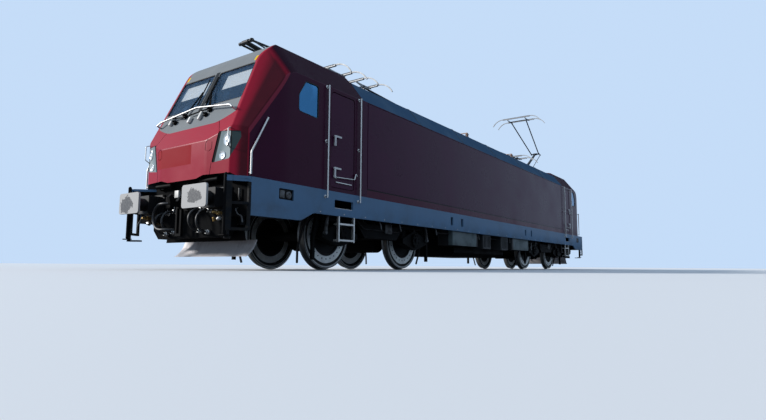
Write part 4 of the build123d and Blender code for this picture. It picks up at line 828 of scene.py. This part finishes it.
pull_y = 1.520
pull_line = bent([(7.06, half_width, 1.616), (7.06, pull_y, 1.616), (6.575, pull_y, 1.640),
                  (6.535, pull_y, 1.752), (6.500, pull_y, 1.715)], 0.018)
pull = joined(bar(pull_line, 0.011),
              bar([(6.60, half_width, 1.639), (6.60, pull_y - 0.01, 1.639), (6.60, pull_y, 1.639)], 0.009),
              slab(rounded(0.44, 0.018, 0.006), 0.010, (6.845, half_width - sunk, 1.536), (-1, 0, 0), z_axis),
              turned([(0, 0.022), (0.006, 0.022), (0.010, 0.014)], (7.06, half_width - sunk, 1.616), y_axis))
for node in doors:
    low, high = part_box(node)
    way = np.sign([low[0] + high[0], low[1] + high[1], 1.0])
    points, faces = pull
    faces = faces if way[0] == way[1] else [face[::-1] for face in faces]
    piece(f"pull_{node}", (points * way, faces), stainless, node)

rail_feet = [turned([(0.0, 0.030), (0.006, 0.030), (0.009, 0.024)], (x, half_width - sunk, z), y_axis)
             for x in (6.43, 7.33) for z in (1.253, 2.213, 3.173)]
piece("rail_feet", mirrored(joined(*rail_feet), 0, 1), stainless)


# Buffers, plough and couplings
# Pressed steel buffer plates in light grey, smeared dark with grease in the middle, on black housings
# with four bolts. The plough is a bent steel plate under road dust, painted black above the blade as shade,
# and a black sheet behind it stands in for shade. Brass cocks feed the hoses.
buffer_y = 0.875
buffer_z = 1.042 + rail_top
plate_back = 9.40
blade_top = 0.50
headstock = 8.92
finish = Finish("buffer_grey", specular=0.3)
x, y, z = finish.position()
right_hand = 1 - y.rise(-0.01, 0.01)
sideways = abs(y) - (buffer_y + right_hand * 0.075)
upwards = (z - buffer_z + right_hand * 0.025) * (1.75 - right_hand * 0.5)
ragged = (sideways ** 2 + upwards ** 2) ** 0.5 + (finish.noise(9.0, 6.0, roughness=0.75) - 0.5) * 0.40
grease = (1 - ragged.rise(0.168, 0.180)) * abs(x).rise(plate_back + 0.03, plate_back + 0.04)
grain = finish.noise(40.0, 4.0)
plate = abs(x).rise(plate_back, plate_back + 0.01)
colour = finish.blend(paint_black, finish.blend((0.40, 0.40, 0.40), (0.47, 0.47, 0.47), grain), plate)
smeared = finish.blend((0.075, 0.075, 0.08), (0.15, 0.15, 0.15), grain.rise(0.4, 0.65))
colour = finish.blend(colour, smeared, grease)
dress("buffers", finish.set(Base_Color=colour, Roughness=0.5 - grease * 0.2 + grain * 0.1,
                            Normal=finish.bump(grease, 0.002, 0.6)))

finish = Finish("plough_grey", specular=0.3)
x, y, z = finish.position()
patches = finish.noise(3.0, 6.0, stretch=(1, 1, 0.4), roughness=0.65)
# Above the blade top the plough is painted black as shade.
blade = 1 - z.rise(blade_top, blade_top + 0.02)
colour = finish.blend((0.76, 0.73, 0.74), (0.52, 0.48, 0.48), patches.rise(0.45, 0.8))
colour = finish.blend(paint_black, colour, blade)
dress("ploughs", finish.set(Base_Color=colour, Roughness=0.45 + patches * 0.3, Metallic=blade * 0.2,
                            Normal=finish.bump(patches, 0.003, 0.3)))

cock_brass = worn_finish("cock_brass", (0.55, 0.36, 0.12), (0.30, 0.20, 0.09), 35.0, 4.0, (0.35, 0.65),
                         Metallic=1.0)
bolt_step = 0.15 * 1.13
bolt_places = [(headstock + 0.026, buffer_y + across * bolt_step, buffer_z + up * bolt_step)
               for across, up in ((1, 1), (1, -1), (-1, 1), (-1, -1))]
buffer_bolts = repeated(bolt(0.020, 0.016, x_axis), bolt_places)
junction = slab(rounded(0.14, 0.20, 0.02), 0.09, (headstock + sunk, 0.47, 1.10), y_axis, z_axis, 0.012)
grip_tube = turned([(0, 0.022), (0.01, 0.034), (0.44, 0.034), (0.45, 0.026)], (9.0, 0.38, 1.385), y_axis)
grip_feet = [bar(bent([(headstock - 0.01, y, 1.33), (8.98, y, 1.33), (9.0, y, 1.385)], 0.02), 0.012, y_axis)
             for y in (0.45, 0.75)]
stile_tube = turned([(0, 0.012), (0.01, 0.028), (0.87, 0.028), (0.89, 0.012)], (9.218, 1.285, 0.515), z_axis)
stile_foot = slab(rounded(0.10, 0.15, 0.02), 0.016, (9.22, 1.285, 0.499), x_axis, y_axis)
# A black sheet across the back of each plough, put there to stand in for shade.
shade_sheet_outline = np.array([(-1.05, -0.10), (1.05, -0.10), (1.0, 0.14), (-1.0, 0.14)])
plough_shade_sheet = slab(shade_sheet_outline, 0.02, (8.62, 0, 0.56), y_axis, z_axis)
black_parts = joined(buffer_bolts, junction, grip_tube, *grip_feet, stile_tube, stile_foot)
black_set = joined(mirrored(black_parts, 0, 1), mirrored(plough_shade_sheet, 0))
piece("headstock_parts", black_set, bogie_black)
socket_box = slab(rounded(0.11, 0.12, 0.01), 0.05, (headstock + sunk, -0.30, 1.235), y_axis, z_axis, 0.006)
piece("white_socket_boxes", with_turned(socket_box), bottle_white)
step_tube = bar([(8.955, 1.265, 1.03), (8.955, 1.265, 1.13), (8.955, 1.265, 1.21)], 0.016, x_axis)
lever_line = [(8.93, 1.22, 0.92), (9.0, 1.25, 0.90), (9.0, 1.30, 0.82), (8.99, 1.38, 0.79),
              (8.99, 1.40, 0.70)]
lever = bar(bent(lever_line, 0.03), 0.011, x_axis)
piece("step_levers", mirrored(joined(step_tube, lever), 0, 1), damper_grey)

hose_radius = 0.020
hose_root = 8.93
hose_tip = 8.955
finish = Finish("hose_rubber")
age = finish.noise(40.0, 3.0)
colour = finish.blend((0.020, 0.020, 0.021), (0.06, 0.056, 0.052), age.rise(0.45, 0.8))
hose_rubber = finish.set(Base_Color=colour, Roughness=0.35 + age * 0.2)
hose_ends = ((0.36, 0.950), (0.56, 0.925))
hose_drop = 0.34
arc_foot = 9.0
arc_depth = 0.175
# The front hoses, from cock to coupling: two half turns on each side, and a wider loop in three arcs
half_turn = np.linspace(np.pi / 2, -np.pi / 2, 7)
arc_x = arc_foot + arc_depth * np.cos(half_turn)
arc_z = (hose_drop / 2) * (np.sin(half_turn) - 1)
hose_x = np.r_[hose_root, arc_x, hose_tip]
hose_z = np.r_[0.0, arc_z, -hose_drop]
hose_routes = {}
for side_name, side in (("left", 1), ("right", -1)):
    for number, (y, height) in enumerate(hose_ends, 1):
        hose_routes[f"{side_name}_{number}"] = np.stack([hose_x, 0 * hose_x + side * y, height + hose_z], -1)
loop_x = 9.225
loop_y = -0.14
loop_top = 1.05
loop_drop = 0.415
loop_bend = 0.175
quarter = np.linspace(0, np.pi / 2, 5)
half = np.linspace(0, np.pi, 9)[1:-1]
loop_out = np.stack([loop_x - loop_bend * (1 - np.sin(quarter)), loop_y - loop_bend * (1 - np.cos(quarter)),
                     loop_top + 0 * quarter], -1)
loop_side = np.stack([loop_x + 0 * half, loop_y - loop_bend - loop_drop / 2 * np.sin(half),
                      loop_top - loop_drop / 2 * (1 - np.cos(half))], -1)
hose_routes["loop"] = np.concatenate([
    [(hose_root, loop_y, loop_top)], loop_out, loop_side, loop_out[::-1] - (0, 0, loop_drop),
    [(hose_tip, loop_y, loop_top - loop_drop)]])
for end_name, end_sign in (("front", 1), ("rear", -1)):
    for hose_name, front_route in hose_routes.items():
        route = front_route * (end_sign, end_sign, 1)
        curve = bpy.data.curves.new(f"hose_{end_name}_{hose_name}", "CURVE")
        curve.dimensions = "3D"
        spline = curve.splines.new("NURBS")
        spline.points.add(len(route) - 1)
        spline.points.foreach_set("co", np.c_[route, np.ones(len(route))].ravel())
        spline.order_u = 3
        spline.use_endpoint_u = True
        spline.resolution_u = 8
        hose = bpy.data.objects.new(curve.name, curve)
        bpy.context.collection.objects.link(hose)
        line = bpy.data.meshes.new_from_object(hose)
        steps = np.empty(3 * len(line.vertices))
        line.vertices.foreach_get("co", steps)
        curve.bevel_depth = hose_radius
        curve.bevel_resolution = 4
        curve.use_fill_caps = True
        curve.materials.append(hose_rubber)
        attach(hose, "root")
        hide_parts("brake_hoses")
cock = [(0, 0.040), (0.010, 0.040), (0.014, 0.028), (0.045, 0.028), (0.050, 0.034), (0.066, 0.034),
        (0.070, 0.026)]
coupling = [(0, 0.026), (0.010, 0.036), (0.045, 0.038), (0.055, 0.027), (0.075, 0.032), (0.082, 0.026)]
couplings = []
for y, height in hose_ends:
    handle_foot = (headstock + 0.030, y, height + 0.04)
    couplings.append(turned(cock, (headstock, y, height), x_axis, 6))
    couplings.append(slab(rounded(0.016, 0.10, 0.007), 0.010, handle_foot, y_axis, z_axis))
    couplings.append(turned(coupling, (headstock, y, height - hose_drop), x_axis))
valve = [(0, 0.036), (0.02, 0.036), (0.024, 0.024), (0.13, 0.024), (0.135, 0.031), (0.16, 0.031),
         (0.165, 0.024), (0.235, 0.024), (0.25, 0.016)]
cocks = [turned(valve, (headstock, 0.945, 0.857), x_axis),
         turned([(0, 0.022), (0.05, 0.022), (0.06, 0.012)], (9.02, 0.79, 0.74), (0.3, 0, 1)),
         bar(bent([(headstock, 0.79, 0.76), (9.0, 0.79, 0.76), (9.03, 0.79, 0.79)], 0.02), 0.010, y_axis)]
plug = [(0, 0.03), (0.05, 0.034), (0.06, 0.02)]
couplings.append(turned(plug, (headstock + 0.13, 0.915, 0.76), (0, 1, 0.4)))
piece("brass_valves", mirrored(joined(*cocks), 0, 1), cock_brass)
piece("hose_couplings", mirrored(joined(*couplings), 0, 1), stainless)


# Roof equipment
# Glazed insulators carry copper bars and the collectors' black tube frames. Their heads are bare
# aluminium with dark carbon strips, and a bellows at each base lifts the lower arm.
finish = Finish("insulator_glaze")
x, y, z = finish.position()
soot = finish.noise(12.0, 4.0)
brown = abs(y).rise(0.7, 0.72)
glaze = finish.blend(finish.blend((0.50, 0.50, 0.47), (0.34, 0.33, 0.30), soot),
                     finish.blend((0.16, 0.07, 0.045), (0.24, 0.15, 0.11), soot), brown)
dress("roof_insulators", finish.set(Base_Color=glaze, Roughness=0.25 + soot * 0.4))
dress("bus_bars", worn_finish("bar_copper", (0.45, 0.25, 0.15), (0.16, 0.12, 0.10), 8.0, 4.0,
                              (0.35, 0.75), Metallic=1.0))
finish = Finish("collector_black", specular=0.3)
grain = finish.noise(25.0, 4.0)
colour = finish.blend((0.020, 0.021, 0.024), (0.05, 0.05, 0.05), grain.rise(0.5, 0.8))
collector_black = finish.set(Base_Color=colour, Roughness=0.4 + grain * 0.2)
head_aluminium = worn_finish("head_aluminium", (0.38, 0.39, 0.40), (0.25, 0.255, 0.26), 30.0, 4.0,
                             (0.5, 0.7), Metallic=0.5, specular=0.2)
strip_carbon = worn_finish("strip_carbon", (0.025, 0.025, 0.027), (0.07, 0.068, 0.065), 50.0, 3.0,
                           (0.4, 0.7), stretch=(1, 0.1, 1), specular=0.3)
dress("collector_bases", collector_black)
bellows_profile = [(0, 0.045), (0.004, 0.062), (0.022, 0.066), (0.032, 0.050), (0.042, 0.066),
                   (0.060, 0.066), (0.070, 0.050), (0.080, 0.066), (0.098, 0.066), (0.108, 0.050),
                   (0.118, 0.066), (0.138, 0.062), (0.142, 0.045)]
collectors = {
    # base pivot's X, which way the lower arm points, the head's pin
    "outer_front": (6.3, 1, (5.7711, 4.1473)),
    "inner_front": (4.3, -1, (4.8289, 4.1473)),
    "inner_rear": (-4.3, 1, (-4.8289, 4.1473)),
    "outer_rear": (-6.3, -1, (-5.7676, 5.8990)),
}
bellows_z = 3.885
strip_outline = rounded(0.056, 1.08, 0.012)
bellows = []
for label, (pivot, direction, (head_x, head_z)) in collectors.items():
    head = f"collector_head_{label}"
    for arm in ("lower_arm", "upper_arm", "coupling_rod"):
        dress(f"{arm}_{label}", collector_black)
    dress(head, head_aluminium)
    strips = [slab(strip_outline, 0.016, (head_x + step, 0, head_z + 0.0646), x_axis, y_axis, 0.002)
              for step in (-0.262, 0.262)]
    piece(f"carbon_strips_{label}", joined(*strips), strip_carbon, head)
    for side in (1, -1):
        line = [(pivot - direction * behind, side * 0.10, bellows_z) for behind in (0.40, 0.33, 0.32)]
        bellows.append(turned(bellows_profile, line[-1], (direction, 0, 0), 24))
        bellows.append(bar(line, 0.018))
piece("air_bellows", joined(*bellows), hose_rubber)

roof_line = [(1.493, 3.206), (1.171, 3.620), (1.092, 3.651), (-1.092, 3.651), (-1.171, 3.620),
             (-1.493, 3.206)]
seam_bolt_z = 3.6475
seams = []
seam_bolts = []
for x in (-4.2, -2.1, 0.0, 2.1, 4.2):
    seams.append(bar(bent([(x, y, z) for y, z in roof_line], 0.02, 3), 0.010, x_axis, 8))
    spots = [(x + 0.05, y, seam_bolt_z) for y in np.linspace(-1.0, 1.0, 20)]
    seam_bolts.append(repeated(bolt(0.009, 0.007, z_axis), spots))
seam_grey = worn_finish("seam_grey", (0.055, 0.10, 0.15), (0.09, 0.12, 0.14), 12.0, 4.0, (0.45, 0.65),
                        specular=0.3)
piece("roof_seams", joined(*seams, *seam_bolts), seam_grey)
